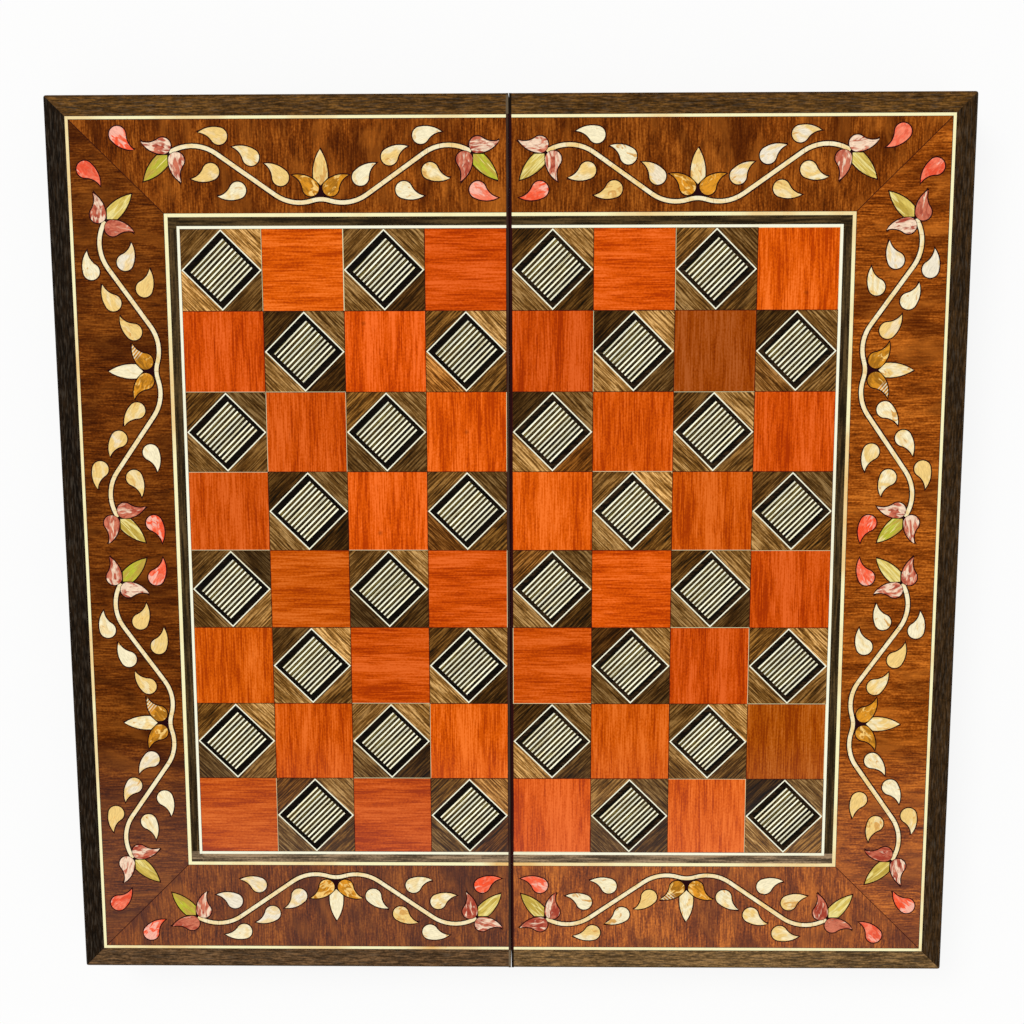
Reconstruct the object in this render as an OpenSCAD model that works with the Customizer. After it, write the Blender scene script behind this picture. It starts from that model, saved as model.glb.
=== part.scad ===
// Folding chess and backgammon board, lying open with the chess side up.
// Millimetres, +Z up. The origin is under the middle of the open board, on the surface it lies on.
// The fold runs along Y at X = 0, and the right half (+X) swings down and under the left one.

/* [Chess field] */
// Side of one square
square = 44.4; // [43:0.1:60]
// Width of the white outline round a diamond
outline_w = 0.65; // [0.4:0.05:1.5]
// Width of the black band inside that outline
diamond_band_w = 2.15; // [1:0.05:4]
// Gap between a diamond's point and the side of its square
point_gap = 0.25; // [0.1:0.05:1]
// Light strips across one diamond
light_strips = 10; // [4:1:14]
// Width of one light strip
light_strip_w = 0.9; // [0.5:0.05:1.4]

/* [Lines and bands] */
// Width of the white line round the chess field
bone_w = 1.5; // [1:0.1:4]
// Width of the dark band outside it
band_w = 4.8; // [2:0.1:10]
// Width of the inner line of cream stringing
inner_line_w = 1.9; // [1:0.1:4]
// Width of the outer line of cream stringing
outer_line_w = 1.6; // [1:0.1:4]
// Width of the border veneer
border_w = 50; // [45:0.5:70]
// Width of the walnut frame that shows round the face
frame_w = 11.1; // [6:0.1:20]
// Radius of the four outer corners
corner_r = 1.6; // [0.5:0.1:4]

/* [Walls] */
// Height of the walls, from the rim to the face
wall_h = 38; // [30:1:60]
// Width of the ledge that carries the panel
ledge_w = 4; // [2:0.5:8]
// Thickness of the wall at the fold
hinge_wall_t = 10; // [10:0.5:16]
// Lip of that wall that shows at the seam
lip_w = 1.3; // [1:0.1:3]
// Half of the gap at the seam
seam_gap = 0.2; // [0.1:0.05:1]
// Bevel along the walls' long edges
arris = 0.6; // [0.2:0.1:1.5]

/* [Panel] */
// Thickness of the marquetry
inlay_t = 1.5; // [0.8:0.1:3]
// Thickness of the plywood under it
core_t = 4; // [3:0.5:8]
// Gap round the plywood in its rebate
core_gap = 0.2; // [0.1:0.05:0.5]
// Thickness of the playing field veneer inside
field_t = 1; // [0.6:0.1:2]
// Gap that filler takes up round each inlay
filler_gap = 0.3; // [0.15:0.05:0.4]
// Glue line between neighbouring pieces of one kind
glue = 0.05; // [0.02:0.01:0.1]

/* [Backgammon] */
// Points at each end of one half
end_points = 6; // [6:1:6]
// Length of a point
point_l = 185; // [120:5:200]
// Field left between the feet of two points
foot_gap = 1; // [0.5:0.1:3]

/* [Vines] */
// Width of a stem
stem_w = 2.2; // [1.2:0.1:3]
// Radius of the stem's two bends
stem_bend_r = 23; // [20:0.5:26]
// Radius of a leaf's round head
leaf_head_r = 4.5; // [3:0.1:5]
// Distance from the head to the leaf's tip
leaf_reach = 11.3; // [9:0.1:13]
// Radius of the round head of a red drop
drop_head_r = 4.5; // [3:0.1:5]
// Distance from the head to the drop's tip
drop_reach = 11.8; // [9:0.1:13]
// Radius of the round head of a pink or amber petal
petal_head_r = 4.4; // [3:0.1:4.6]
// Distance from the head to the petal's tip
petal_reach = 11.9; // [9:0.1:13]
// Length of a green leaf and of the pale centre petal
blade_l = 19; // [14:0.5:20]
// Reach of that blade's square shoulder
blade_shoulder = 3.9; // [2.5:0.1:4.2]

/* [Hinges] */
// Distance of each hinge from the middle of the fold
hinge_y = 150; // [60:5:190]
// Length of a hinge
hinge_l = 60; // [40:2:80]
// Knuckles on one hinge
knuckles = 5; // [3:2:7]
// Radius of the barrel, which is also the felt's thickness
barrel_r = 2; // [1.6:0.1:3]
// Radius of the hinge pin
pin_r = 0.9; // [0.6:0.1:1.2]
// Reach of a leaf from the pin
hinge_leaf_w = 8.2; // [7:0.1:9]
// Thickness of a leaf
hinge_leaf_t = 1.15; // [0.8:0.05:1.6]
// Screws in one leaf
hinge_screws = 3; // [2:1:4]
// Radius of a hinge screw's shank
screw_r = 1.1; // [0.8:0.05:1.3]
// Radius of its countersunk head
screw_head_r = 2.1; // [1.8:0.05:2.3]
// Length of a hinge screw
screw_l = 11; // [6:1:16]

/* [Latches] */
// Distance of each latch from the middle
latch_y = 120; // [40:5:180]
// Height of the pivot and the catch above the rim
latch_h = 8; // [6:0.5:12]
// Thickness of a hook
hook_t = 1.2; // [0.8:0.1:2]
// Width of a hook's arm
hook_arm_w = 2.8; // [2:0.1:4]
// Radius of a hook's round ends
hook_end_r = 3.8; // [3.2:0.1:5]
// Radius of the pivot's shank
pivot_r = 1.2; // [0.8:0.05:1.6]
// Radius of the catch's shank
catch_r = 1.5; // [1:0.05:2]
// Radius of the heads of pivot and catch
stud_head_r = 2.8; // [2.2:0.1:4]
// Length of pivot and catch inside the wall
stud_l = 9; // [5:0.5:10]

/* [Felt pads] */
// Radius of a pad
pad_r = 5.5; // [3:0.5:6.5]
// Distance of the two end pads from the middle
pad_y = 222; // [100:2:230]

/* [Hidden] */
$fn = 64;

// Sides of the board: the left half is the right one mirrored
LEFT = -1;
RIGHT = 1;
FAR = 1;
NEAR = -1;

// Rows across the field, and the columns on one half
rows = 8;
columns = 4;

// Distances from the seam plane, inside to outside
lip_x = seam_gap + lip_w;
field_x = lip_x + columns * square;
bone_x = field_x + bone_w;
band_x = bone_x + band_w;
inner_line_x = band_x + inner_line_w;
border_x = inner_line_x + border_w;
outer_line_x = border_x + outer_line_w;
half_w = outer_line_x + frame_w;

// The same lines as distances from the middle of the fold
field_y = rows / 2 * square;
bone_y = field_y + bone_w;
band_y = bone_y + band_w;
inner_line_y = band_y + inner_line_w;
border_y = inner_line_y + border_w;
outer_line_y = border_y + outer_line_w;
half_l = outer_line_y + frame_w;

// Heights, from the surface that the board lies on
rim_z = barrel_r;
face_z = rim_z + wall_h;
inlay_z = face_z - inlay_t;
core_z = inlay_z - core_t;
field_z = core_z - field_t;

// Inner faces of the walls
wall_t = frame_w + ledge_w;
room_in_x = seam_gap + hinge_wall_t;
room_out_x = half_w - wall_t;
room_y = half_l - wall_t;

// How far a cut runs past a face, so that it leaves no skin
past = 1;

// Diamond: half its diagonal, and half the side of its striped middle
diamond_d = square / 2 - point_gap;
diag = sqrt(2);
stripes_half = diamond_d / diag - outline_w - diamond_band_w;
tile_half = (square - glue) / 2;
dark_strip_w = (2 * stripes_half - light_strips * light_strip_w) / (light_strips + 1);

// The vine was drawn for a band of this width and length, and grows or shrinks as a whole with it
vine_room_w = 50;
vine_room_l = 235.8;
vine_scale = min(
    border_w / vine_room_w, (border_x - seam_gap) / vine_room_l, border_y / vine_room_l);
// Distance of a vine's middle from the fold at the ends, and from the middle of a long side
vine_end_place = 101.7;
vine_side_place = 100.4;
// How far its outer edge lies past that of the band, where the outer cream line begins
vine_edge = 0.6;

// Stem, from the middle of a vine: the crest by the flower, the trough, and the hump in the middle
crest_top = [-69.2, -14.8];
trough_bottom = [-11.6, -45];
hump_top_y = -43.2;
stem_start_angle = 121.9;
crest_c = crest_top - [0, stem_bend_r];
trough_c = trough_bottom + [0, stem_bend_r];
bend_gap = trough_c - crest_c;
stem_normal = 90 + atan2(bend_gap.y, bend_gap.x) - asin(2 * stem_bend_r / norm(bend_gap));
hump_rise = trough_c.y - hump_top_y;
hump_r = (trough_c.x * trough_c.x + hump_rise * hump_rise - stem_bend_r * stem_bend_r)
    / (2 * (stem_bend_r - hump_rise));
hump_c = [0, hump_top_y - hump_r];
hump_angle = atan2(trough_c.y - hump_c.y, trough_c.x - hump_c.x);

// Leaves and petals: head place, direction of the tip, and 1 or -1 for the side that bulges
cream_leaf_places = [
    [[-54.4, -9.7], 170, 1], [[-37.4, -20.9], 151, 1], [[-21.6, -31.6], 139, 1],
    [[-59.3, -28.4], 200, -1], [[-45, -38.3], 197, -1]
];
pink_petal_places = [[[-84.9, -14.7], 169, -1], [[-77.8, -22.4], 281, 1]];
amber_petal_place = [[-5.4, -37.2], 145, 1];
green_leaf_base = [-82.6, -19.6];
green_leaf_turn = 226;
centre_petal_base = [0, -35.8];
corner_drop_place = [[-109.1, -8.7], -43, 1];
seam_drop_place = [[84.9, -38.5], -21, 1];

// Radii of a drop's two long curves: the bulging side and the hollow side
belly_r = 14.5;
waist_r = 9.8;
// How far inside the round head those curves start
drop_lap = 0.03;
// Radius of the long curves of a blade
blade_r = 24;
// Facets of a stem's wide arcs in a mesh
arc_facets = 128;
// Filler where petals meet: a round spot in a flower, and a wedge between the amber petals
flower_spot = [-82, -19.6];
flower_spot_r = 2.3;
middle_filler = [[-1.6, -34.4], [1.6, -34.4], [3, -42], [-3, -42]];
// The straight part of a stem's pocket is this much wider, and runs on into the bends
pocket_lap = 0.03;
pocket_run = 1;

// Hinge: clearances between what turns and what doesn't
knuckle_gap = 0.2;
barrel_gap = 0.3;
leaf_gap = 0.15;
pin_play = 0.05;
screw_play = 0.05;
knuckle_l = (hinge_l - (knuckles - 1) * knuckle_gap) / knuckles;
leaf_z = rim_z + leaf_gap;
screw_edge = 2.7;
screw_x = hinge_leaf_w - screw_edge;
screw_cone_h = 1;
bore_past_tip = 2;

// The board closes until the felt pads of the two halves meet
close_gap = 1;
latch_reach = latch_h * (1 + cos(close_gap)) + (half_w + hook_t) * sin(close_gap);
hook_off = 0.2;
hook_play = 0.25;
hook_mouth = 40;
head_gap = 0.3;
head_t = 1.3;
tail_l = 7;
tail_r = 1.7;
latch_z = rim_z + latch_h;
pad_x = half_w - wall_t / 2;

// Colours
walnut = "#3b2a1a";
walnut_mid = "#5c4326";
plywood = "#c39a63";
mahogany = "#7a3d12";
cream = "#f0dfa8";
bone = "#f2efe2";
orange = "#d4520c";
black = "#1d1712";
olive = "#75623a";
leaf_cream = "#ecd7a4";
red = "#f0421c";
pink = "#c05a55";
green = "#a9a54a";
amber = "#c98a1c";
brass = "#c9a24a";
felt = "#2f5d3a";

module on_side(s) { mirror([s < 0 ? 1 : 0, 0, 0]) children(); }
module on_end(e) { mirror([0, e < 0 ? 1 : 0, 0]) children(); }
module both_ends() { for (e = [FAR, NEAR]) on_end(e) children(); }
module inlay_layer() { translate([0, 0, inlay_z]) linear_extrude(inlay_t) children(); }
module rect(x0, y0, x1, y1) { translate([x0, y0]) square([x1 - x0, y1 - y0]); }

// Walls
module wall_profile() {
    // Inner face at 0, outer face at wall_t, with the rebate that the panel lies in
    polygon([
        [0, rim_z], [wall_t - arris, rim_z], [wall_t, rim_z + arris], [wall_t, face_z - arris],
        [wall_t - arris, face_z], [ledge_w, face_z], [ledge_w, core_z], [0, core_z]
    ]);
}

module corner_round() {
    difference() {
        rect(half_w - corner_r, half_l - corner_r, half_w + past, half_l + past);
        translate([half_w - corner_r, half_l - corner_r]) circle(corner_r);
    }
}

module stud_bore(r) {
    for (e = [FAR, NEAR])
        translate([half_w - stud_l - bore_past_tip, e * latch_y, latch_z])
            rotate([0, 90, 0]) cylinder(r = r, h = stud_l + bore_past_tip + past);
}

module long_wall(s, bore_r) {
    color(walnut) on_side(s) difference() {
        intersection() {
            translate([room_out_x, 0, 0]) rotate([90, 0, 0])
                linear_extrude(2 * half_l, center = true) wall_profile();
            linear_extrude(face_z + past) difference() {
                polygon([
                    [room_out_x, -room_y], [half_w, -half_l], [half_w, half_l], [room_out_x, room_y]
                ]);
                both_ends() corner_round();
            }
        }
        stud_bore(bore_r);
    }
}

module end_wall(s, e) {
    color(walnut_mid) on_side(s) on_end(e) {
        intersection() {
            translate([room_in_x, room_y, 0]) rotate([90, 0, 90])
                linear_extrude(half_w - room_in_x) wall_profile();
            linear_extrude(face_z + past) difference() {
                polygon([
                    [room_in_x, room_y], [room_out_x, room_y], [half_w, half_l], [room_in_x, half_l]
                ]);
                corner_round();
            }
        }
        // The frame strip runs on over the hinge wall's ledge, up to its lip
        translate([lip_x, room_y, 0]) rotate([90, 0, 90])
            linear_extrude(room_in_x - lip_x) intersection() {
                wall_profile();
                rect(ledge_w, core_z, wall_t, face_z);
            }
    }
}

module hinge_wall(s) {
    color(walnut) on_side(s) difference() {
        rotate([90, 0, 0]) linear_extrude(2 * half_l, center = true) polygon([
            [seam_gap, rim_z], [room_in_x, rim_z], [room_in_x, core_z],
            [lip_x, core_z], [lip_x, face_z], [seam_gap, face_z]
        ]);
        for (e = [FAR, NEAR]) translate([0, e * hinge_y, 0]) hinge_recess();
    }
}

// Room in a hinge wall for one leaf, the barrel and the screws
module hinge_recess() {
    recess_l = hinge_l + 2 * leaf_gap;
    translate([0, recess_l / 2, rim_z]) rotate([90, 0, 0])
        cylinder(r = barrel_r + barrel_gap, h = recess_l);
    translate([0, -recess_l / 2, rim_z - past])
        cube([hinge_leaf_w + leaf_gap, recess_l, past + leaf_gap + hinge_leaf_t]);
    for (i = [0 : hinge_screws - 1]) translate([screw_x, screw_y(i), leaf_z])
        cylinder(r = screw_r + screw_play, h = screw_l + bore_past_tip);
}

// Panel
module panel_plan(gap) {
    rect(lip_x + gap, -outer_line_y + gap, outer_line_x - gap, outer_line_y - gap);
}

module panel_core(s) {
    color(plywood) on_side(s) translate([0, 0, core_z]) linear_extrude(core_t) panel_plan(core_gap);
}

// Three lengths round a half, butt jointed: one along the side and one at each end
module line_round(x, y, w) {
    inlay_layer() rect(x - w, -y, x, y);
    both_ends() inlay_layer() rect(lip_x, y - w, x - w - glue, y);
}

module cream_stringing(s) {
    color(cream) on_side(s) {
        line_round(outer_line_x, outer_line_y, outer_line_w);
        line_round(inner_line_x, inner_line_y, inner_line_w);
    }
}

module dark_banding(s) { color(black) on_side(s) line_round(band_x, band_y, band_w); }

module white_lines(s) {
    color(bone) {
        on_side(s) line_round(bone_x, bone_y, bone_w);
        each_diamond(s) inlay_layer()
            diamond_ring(diamond_d / diag, diamond_d / diag - outline_w);
    }
}

// The side band and the two end bands, mitred at the outer corners, with pockets for the vines
module border_veneer(s) {
    color(mahogany) on_side(s) {
        difference() {
            inlay_layer() polygon([
                [inner_line_x, -inner_line_y], [border_x, -border_y],
                [border_x, border_y], [inner_line_x, inner_line_y]
            ]);
            on_side_vines() vine_pockets();
        }
        both_ends() difference() {
            inlay_layer() polygon([
                [lip_x, inner_line_y], [inner_line_x - glue, inner_line_y],
                [border_x - glue, border_y], [lip_x, border_y]
            ]);
            on_end_vine() vine_pockets();
        }
    }
}

// Chess field
function is_dark(s, row, column) = (row + column + (s < 0 ? 1 : 0)) % 2 == 0;

// Rows are counted from the far end, columns from the seam
module at_square(s, row, column) {
    translate([s * (lip_x + (column + 0.5) * square), field_y - (row + 0.5) * square, 0]) children();
}

module each_diamond(s) {
    for (row = [0 : rows - 1]) for (column = [0 : columns - 1])
        if (is_dark(s, row, column)) at_square(s, row, column) children();
}

module orange_squares(s) {
    color(orange) for (row = [0 : rows - 1]) for (column = [0 : columns - 1])
        if (!is_dark(s, row, column)) at_square(s, row, column)
            inlay_layer() rect(-tile_half, -tile_half, tile_half, tile_half);
}

module diamond_ring(outer, inner) {
    rotate(45) difference() {
        rect(-outer, -outer, outer, outer);
        rect(-inner, -inner, inner, inner);
    }
}

module walnut_corners(s) {
    h = tile_half;
    g = glue / 2;
    color(walnut_mid) each_diamond(s) for (turn = [0 : 90 : 270]) rotate(turn)
        inlay_layer() polygon([[diamond_d - g, g], [h, g], [h, h], [g, h], [g, diamond_d - g]]);
}

module diamond_bands(s) {
    color(black) each_diamond(s) inlay_layer()
        diamond_ring(diamond_d / diag - outline_w, stripes_half);
}

// Strips are counted across the diamond and run from near left to far right
module strips(s, count, first, width) {
    pitch = light_strip_w + dark_strip_w;
    each_diamond(s) rotate(45) for (i = [0 : count - 1])
        inlay_layer() rect(-stripes_half, first + i * pitch, stripes_half, first + i * pitch + width);
}

module light_strips(s) {
    color(cream) strips(s, light_strips, dark_strip_w - stripes_half, light_strip_w);
}

module dark_strips(s) { color(olive) strips(s, light_strips + 1, -stripes_half, dark_strip_w); }

// Vines. One is drawn about its own middle, with Y = 0 on the outer edge of its band and Z = 0
// under the marquetry.
module on_side_vines() {
    both_ends() translate([border_x, 0, inlay_z]) rotate(-90) scale(vine_scale)
        translate([-vine_side_place, vine_edge, 0]) children();
}

module on_end_vine() {
    translate([0, border_y, inlay_z]) mirror([1, 0, 0]) scale(vine_scale)
        translate([-vine_end_place, vine_edge, 0]) children();
}

module vine_layer() { linear_extrude(inlay_t / vine_scale) children(); }
module on_all_vines() {
    on_side_vines() children();
    both_ends() on_end_vine() children();
}
module vine_sides() { for (m = [0, 1]) mirror([m, 0, 0]) children(); }

// A drop with its round head at the origin and its tip at -X. The bulging side is one large arc that
// runs out of the head from inside, and the hollow side is an arc that touches the head from outside.
module drop(head, reach, grow = 0) {
    to_belly = belly_r - head + drop_lap;
    to_waist = waist_r + head - drop_lap;
    bx = (belly_r * belly_r - reach * reach - to_belly * to_belly) / (2 * reach);
    by = -sqrt(to_belly * to_belly - bx * bx);
    cx = (waist_r * waist_r - reach * reach - to_waist * to_waist) / (2 * reach);
    cy = -sqrt(to_waist * to_waist - cx * cx);
    far_out = 3 * reach;
    circle(head + grow);
    difference() {
        intersection() {
            translate([bx, by]) circle(belly_r + grow);
            polygon([
                [0, 0], -far_out * [bx, by] / norm([bx, by]), [-far_out, far_out],
                far_out * [cx, cy] / norm([cx, cy])
            ]);
        }
        translate([cx, cy]) circle(waist_r - grow);
    }
}

module placed_drop(place, head, reach, grow = 0) {
    translate(place[0]) rotate(place[1] + 180) mirror([0, place[2] < 0 ? 1 : 0]) drop(head, reach, grow);
}

// A blade with its square base corner at the origin and its tip at +X
module blade(grow = 0) {
    shoulder = [blade_shoulder, blade_shoulder];
    to_tip = [blade_l, 0] - shoulder;
    half_chord = norm(to_tip) / 2;
    middle = shoulder + to_tip / 2;
    inward = [to_tip.y, -to_tip.x] / (2 * half_chord);
    c = middle + inward * sqrt(blade_r * blade_r - half_chord * half_chord);
    back = -grow * diag;
    intersection() {
        translate(c) circle(blade_r + grow);
        translate([c.x, -c.y]) circle(blade_r + grow);
        polygon([[back, 0], [blade_l, blade_l - back], [2 * blade_l, 0], [blade_l, back - blade_l]]);
    }
}

module arc_strip(c, r, w, a0, a1) {
    far_out = 2 * r;
    mid = (a0 + a1) / 2;
    translate(c) intersection() {
        difference() {
            circle(r + w / 2, $fn = arc_facets);
            circle(r - w / 2, $fn = arc_facets);
        }
        polygon([
            [0, 0], far_out * [cos(a0), sin(a0)], far_out * [cos(mid), sin(mid)],
            far_out * [cos(a1), sin(a1)]
        ]);
    }
}

// The straight length of a stem, from the crest's bend to the trough's
module stem_straight(w, run_on) {
    from = crest_c + stem_bend_r * [cos(stem_normal), sin(stem_normal)];
    length = norm(trough_c - stem_bend_r * [cos(stem_normal), sin(stem_normal)] - from);
    translate(from) rotate(stem_normal - 90) rect(-run_on, -w / 2, length + run_on, w / 2);
}

// The lengths of one run of stem, from the flower to the hump, with a glue line between them
module stem_run() {
    lap = glue / stem_bend_r * 180 / PI;
    arc_strip(crest_c, stem_bend_r, stem_w, stem_normal + lap, stem_start_angle);
    stem_straight(stem_w, 0);
    arc_strip(trough_c, stem_bend_r, stem_w, stem_normal + 180 + lap, hump_angle + 180 - lap);
}

module stem_hump() { arc_strip(hump_c, hump_r, stem_w, hump_angle, 180 - hump_angle); }

module stem_pocket() {
    w = stem_w + 2 * filler_gap;
    start_lap = filler_gap / stem_bend_r * 180 / PI;
    arc_strip(crest_c, stem_bend_r, w, stem_normal, stem_start_angle + start_lap);
    stem_straight(w + 2 * pocket_lap, pocket_run);
    arc_strip(trough_c, stem_bend_r, w, stem_normal + 180, hump_angle + 180);
    arc_strip(hump_c, hump_r, w + 2 * pocket_lap, hump_angle + pocket_run, 180 - hump_angle - pocket_run);
}

module stem_shape() {
    difference() {
        stem_run();
        for (p = pink_petal_places) placed_drop(p, petal_head_r, petal_reach, filler_gap);
    }
}

module amber_shape() {
    difference() {
        placed_drop(amber_petal_place, petal_head_r, petal_reach);
        centre_shape(filler_gap);
        stem_pocket();
    }
}

module centre_shape(grow = 0) { translate(centre_petal_base) rotate(90) blade(grow); }
module green_outline(grow = 0) { translate(green_leaf_base) rotate(green_leaf_turn) blade(grow); }

module green_shape() {
    difference() {
        green_outline();
        for (p = pink_petal_places) placed_drop(p, petal_head_r, petal_reach, filler_gap);
    }
}

module drop_pair(grow = 0) {
    for (p = [corner_drop_place, seam_drop_place]) placed_drop(p, drop_head_r, drop_reach, grow);
}

module vine_pockets() {
    translate([0, 0, -past]) linear_extrude(inlay_t / vine_scale + 2 * past) {
        vine_sides() {
            stem_pocket();
            for (p = cream_leaf_places) placed_drop(p, leaf_head_r, leaf_reach, filler_gap);
            for (p = pink_petal_places) placed_drop(p, petal_head_r, petal_reach, filler_gap);
            placed_drop(amber_petal_place, petal_head_r, petal_reach, filler_gap);
            green_outline(filler_gap);
            translate(flower_spot) circle(flower_spot_r);
        }
        centre_shape(filler_gap);
        polygon(middle_filler);
        drop_pair(filler_gap);
    }
}

module vine_stems(s) {
    color(cream) on_side(s) on_all_vines() {
        vine_sides() vine_layer() stem_shape();
        vine_layer() stem_hump();
    }
}

module cream_leaves(s) {
    color(leaf_cream) on_side(s) on_all_vines() vine_sides() for (p = cream_leaf_places)
        vine_layer() placed_drop(p, leaf_head_r, leaf_reach);
}

module red_drops(s) { color(red) on_side(s) on_all_vines() vine_layer() drop_pair(); }

module pink_petals(s) {
    color(pink) on_side(s) on_all_vines() vine_sides() for (p = pink_petal_places)
        vine_layer() placed_drop(p, petal_head_r, petal_reach);
}

module green_leaves(s) {
    color(green) on_side(s) on_all_vines() vine_sides() vine_layer() green_shape();
}

module amber_petals(s) {
    color(amber) on_side(s) on_all_vines() vine_sides() vine_layer() amber_shape();
}

module centre_petals(s) { color(leaf_cream) on_side(s) on_all_vines() vine_layer() centre_shape(); }

// Backgammon field, under the panel
module field_layer(past_face = 0) {
    translate([0, 0, field_z - past_face]) linear_extrude(field_t + 2 * past_face) children();
}

// Points whose number leaves the given remainder, on the far end or the near end
module points(parity) {
    pitch = (room_out_x - room_in_x) / end_points;
    for (e = [FAR, NEAR]) for (i = [0 : end_points - 1]) if ((i + (e < 0 ? 1 : 0)) % 2 == parity)
        translate([room_in_x + i * pitch, 0]) polygon([
            [foot_gap / 2, e * room_y], [pitch - foot_gap / 2, e * room_y],
            [pitch / 2, e * (room_y - point_l)]
        ]);
}

module playing_field(s) {
    color(mahogany) on_side(s) difference() {
        field_layer() rect(room_in_x, -room_y, room_out_x, room_y);
        field_layer(past) { points(0); points(1); }
    }
}

module light_points(s) { color(cream) on_side(s) field_layer() points(s < 0 ? 0 : 1); }
module dark_points(s) { color(walnut) on_side(s) field_layer() points(s < 0 ? 1 : 0); }

module felt_pads(s) {
    color(felt) on_side(s) for (y = [-pad_y, 0, pad_y])
        translate([pad_x, y, 0]) cylinder(r = pad_r, h = rim_z);
}

// Hinges
function screw_y(i) = hinge_l * ((i + 0.5) / hinge_screws - 0.5);
function knuckle_y(i) = i * (knuckle_l + knuckle_gap) - hinge_l / 2;

module along_y(y, r, l) { translate([0, y + l, rim_z]) rotate([90, 0, 0]) cylinder(r = r, h = l); }

// One leaf, on the +X side of its pin. Its own knuckles have numbers of the given parity.
module hinge_leaf(parity, bore) {
    difference() {
        union() {
            difference() {
                translate([0, -hinge_l / 2, leaf_z]) cube([hinge_leaf_w, hinge_l, hinge_leaf_t]);
                for (i = [0 : knuckles - 1]) if (i % 2 != parity)
                    along_y(knuckle_y(i) - knuckle_gap, barrel_r + knuckle_gap, knuckle_l + 2 * knuckle_gap);
            }
            for (i = [0 : knuckles - 1]) if (i % 2 == parity)
                along_y(knuckle_y(i), barrel_r, knuckle_l);
        }
        along_y(-hinge_l / 2 - past, bore, hinge_l + 2 * past);
        for (i = [0 : hinge_screws - 1]) translate([screw_x, screw_y(i), leaf_z]) {
            translate([0, 0, -past]) cylinder(r = screw_r + screw_play, h = hinge_leaf_t + 2 * past);
            cylinder(
                r1 = screw_head_r + screw_play, r2 = screw_r + screw_play, h = screw_cone_h);
        }
    }
}

module hinge_leaves(s) {
    color(brass) on_side(s) for (y = [hinge_y, -hinge_y]) translate([0, y, 0])
        hinge_leaf(s < 0 ? 0 : 1, s < 0 ? pin_r : pin_r + pin_play);
}

module hinge_screw() {
    cylinder(r1 = screw_head_r, r2 = screw_r, h = screw_cone_h);
    translate([0, 0, screw_cone_h]) cylinder(r = screw_r, h = screw_l - screw_cone_h);
}

module hinge_screw_set(s) {
    color(brass) on_side(s) for (y = [hinge_y, -hinge_y]) for (i = [0 : hinge_screws - 1])
        translate([screw_x, y + screw_y(i), leaf_z]) hinge_screw();
}

module hinge_pins() {
    color(brass) for (y = [hinge_y, -hinge_y]) translate([0, y, 0])
        along_y(-hinge_l / 2, pin_r, hinge_l);
}

// Latches. A hook is drawn in the plane of its wall, pivot at the origin, arm along +X, mouth down.
module hook_shape() {
    difference() {
        union() {
            circle(hook_end_r);
            rect(0, -hook_arm_w / 2, latch_reach, hook_arm_w / 2);
            translate([latch_reach, 0]) circle(hook_end_r);
            rect(latch_reach, 0, latch_reach + tail_l, hook_arm_w / 2);
            translate([latch_reach + tail_l, hook_arm_w / 2]) circle(tail_r);
        }
        circle(pivot_r + pin_play);
        translate([latch_reach, 0]) circle(catch_r + hook_play);
        arc_strip([0, 0], latch_reach, 2 * (catch_r + hook_play), -hook_mouth, 0);
    }
}

// The hook lies against the left wall, along the rim, pointing to the far or the near end
module latch_hook(e) {
    color(brass) on_end(e) translate([-half_w - hook_off, latch_y, latch_z])
        rotate([90, 0, -90]) mirror([1, 0, 0]) linear_extrude(hook_t) hook_shape();
}

module stud(r) {
    head_x = hook_off + hook_t + head_gap;
    rotate([0, 90, 0]) {
        translate([0, 0, -stud_l]) cylinder(r = r, h = stud_l + head_x);
        translate([0, 0, head_x]) intersection() {
            cylinder(r = stud_head_r, h = head_t);
            translate([0, 0, head_t - 2 * stud_head_r]) sphere(2 * stud_head_r);
        }
    }
}

module latch_pivots() {
    color(brass) on_side(LEFT) for (y = [latch_y, -latch_y])
        translate([half_w, y, latch_z]) stud(pivot_r);
}

module latch_catches() {
    color(brass) for (y = [latch_y, -latch_y]) translate([half_w, y, latch_z]) stud(catch_r);
}

long_wall(LEFT, pivot_r + screw_play);  // long_wall_left
long_wall(RIGHT, catch_r + screw_play);  // long_wall_right
end_wall(LEFT, FAR);  // far_wall_left
end_wall(RIGHT, FAR);  // far_wall_right
end_wall(LEFT, NEAR);  // near_wall_left
end_wall(RIGHT, NEAR);  // near_wall_right
hinge_wall(LEFT);  // hinge_wall_left
hinge_wall(RIGHT);  // hinge_wall_right
panel_core(LEFT);  // panel_core_left
panel_core(RIGHT);  // panel_core_right
border_veneer(LEFT);  // border_veneer_left
border_veneer(RIGHT);  // border_veneer_right
cream_stringing(LEFT);  // cream_stringing_left
cream_stringing(RIGHT);  // cream_stringing_right
dark_banding(LEFT);  // dark_banding_left
dark_banding(RIGHT);  // dark_banding_right
white_lines(LEFT);  // white_lines_left
white_lines(RIGHT);  // white_lines_right
orange_squares(LEFT);  // orange_squares_left
orange_squares(RIGHT);  // orange_squares_right
walnut_corners(LEFT);  // walnut_corners_left
walnut_corners(RIGHT);  // walnut_corners_right
diamond_bands(LEFT);  // diamond_bands_left
diamond_bands(RIGHT);  // diamond_bands_right
light_strips(LEFT);  // light_strips_left
light_strips(RIGHT);  // light_strips_right
dark_strips(LEFT);  // dark_strips_left
dark_strips(RIGHT);  // dark_strips_right
vine_stems(LEFT);  // vine_stems_left
vine_stems(RIGHT);  // vine_stems_right
cream_leaves(LEFT);  // cream_leaves_left
cream_leaves(RIGHT);  // cream_leaves_right
red_drops(LEFT);  // red_drops_left
red_drops(RIGHT);  // red_drops_right
pink_petals(LEFT);  // pink_petals_left
pink_petals(RIGHT);  // pink_petals_right
green_leaves(LEFT);  // green_leaves_left
green_leaves(RIGHT);  // green_leaves_right
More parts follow.
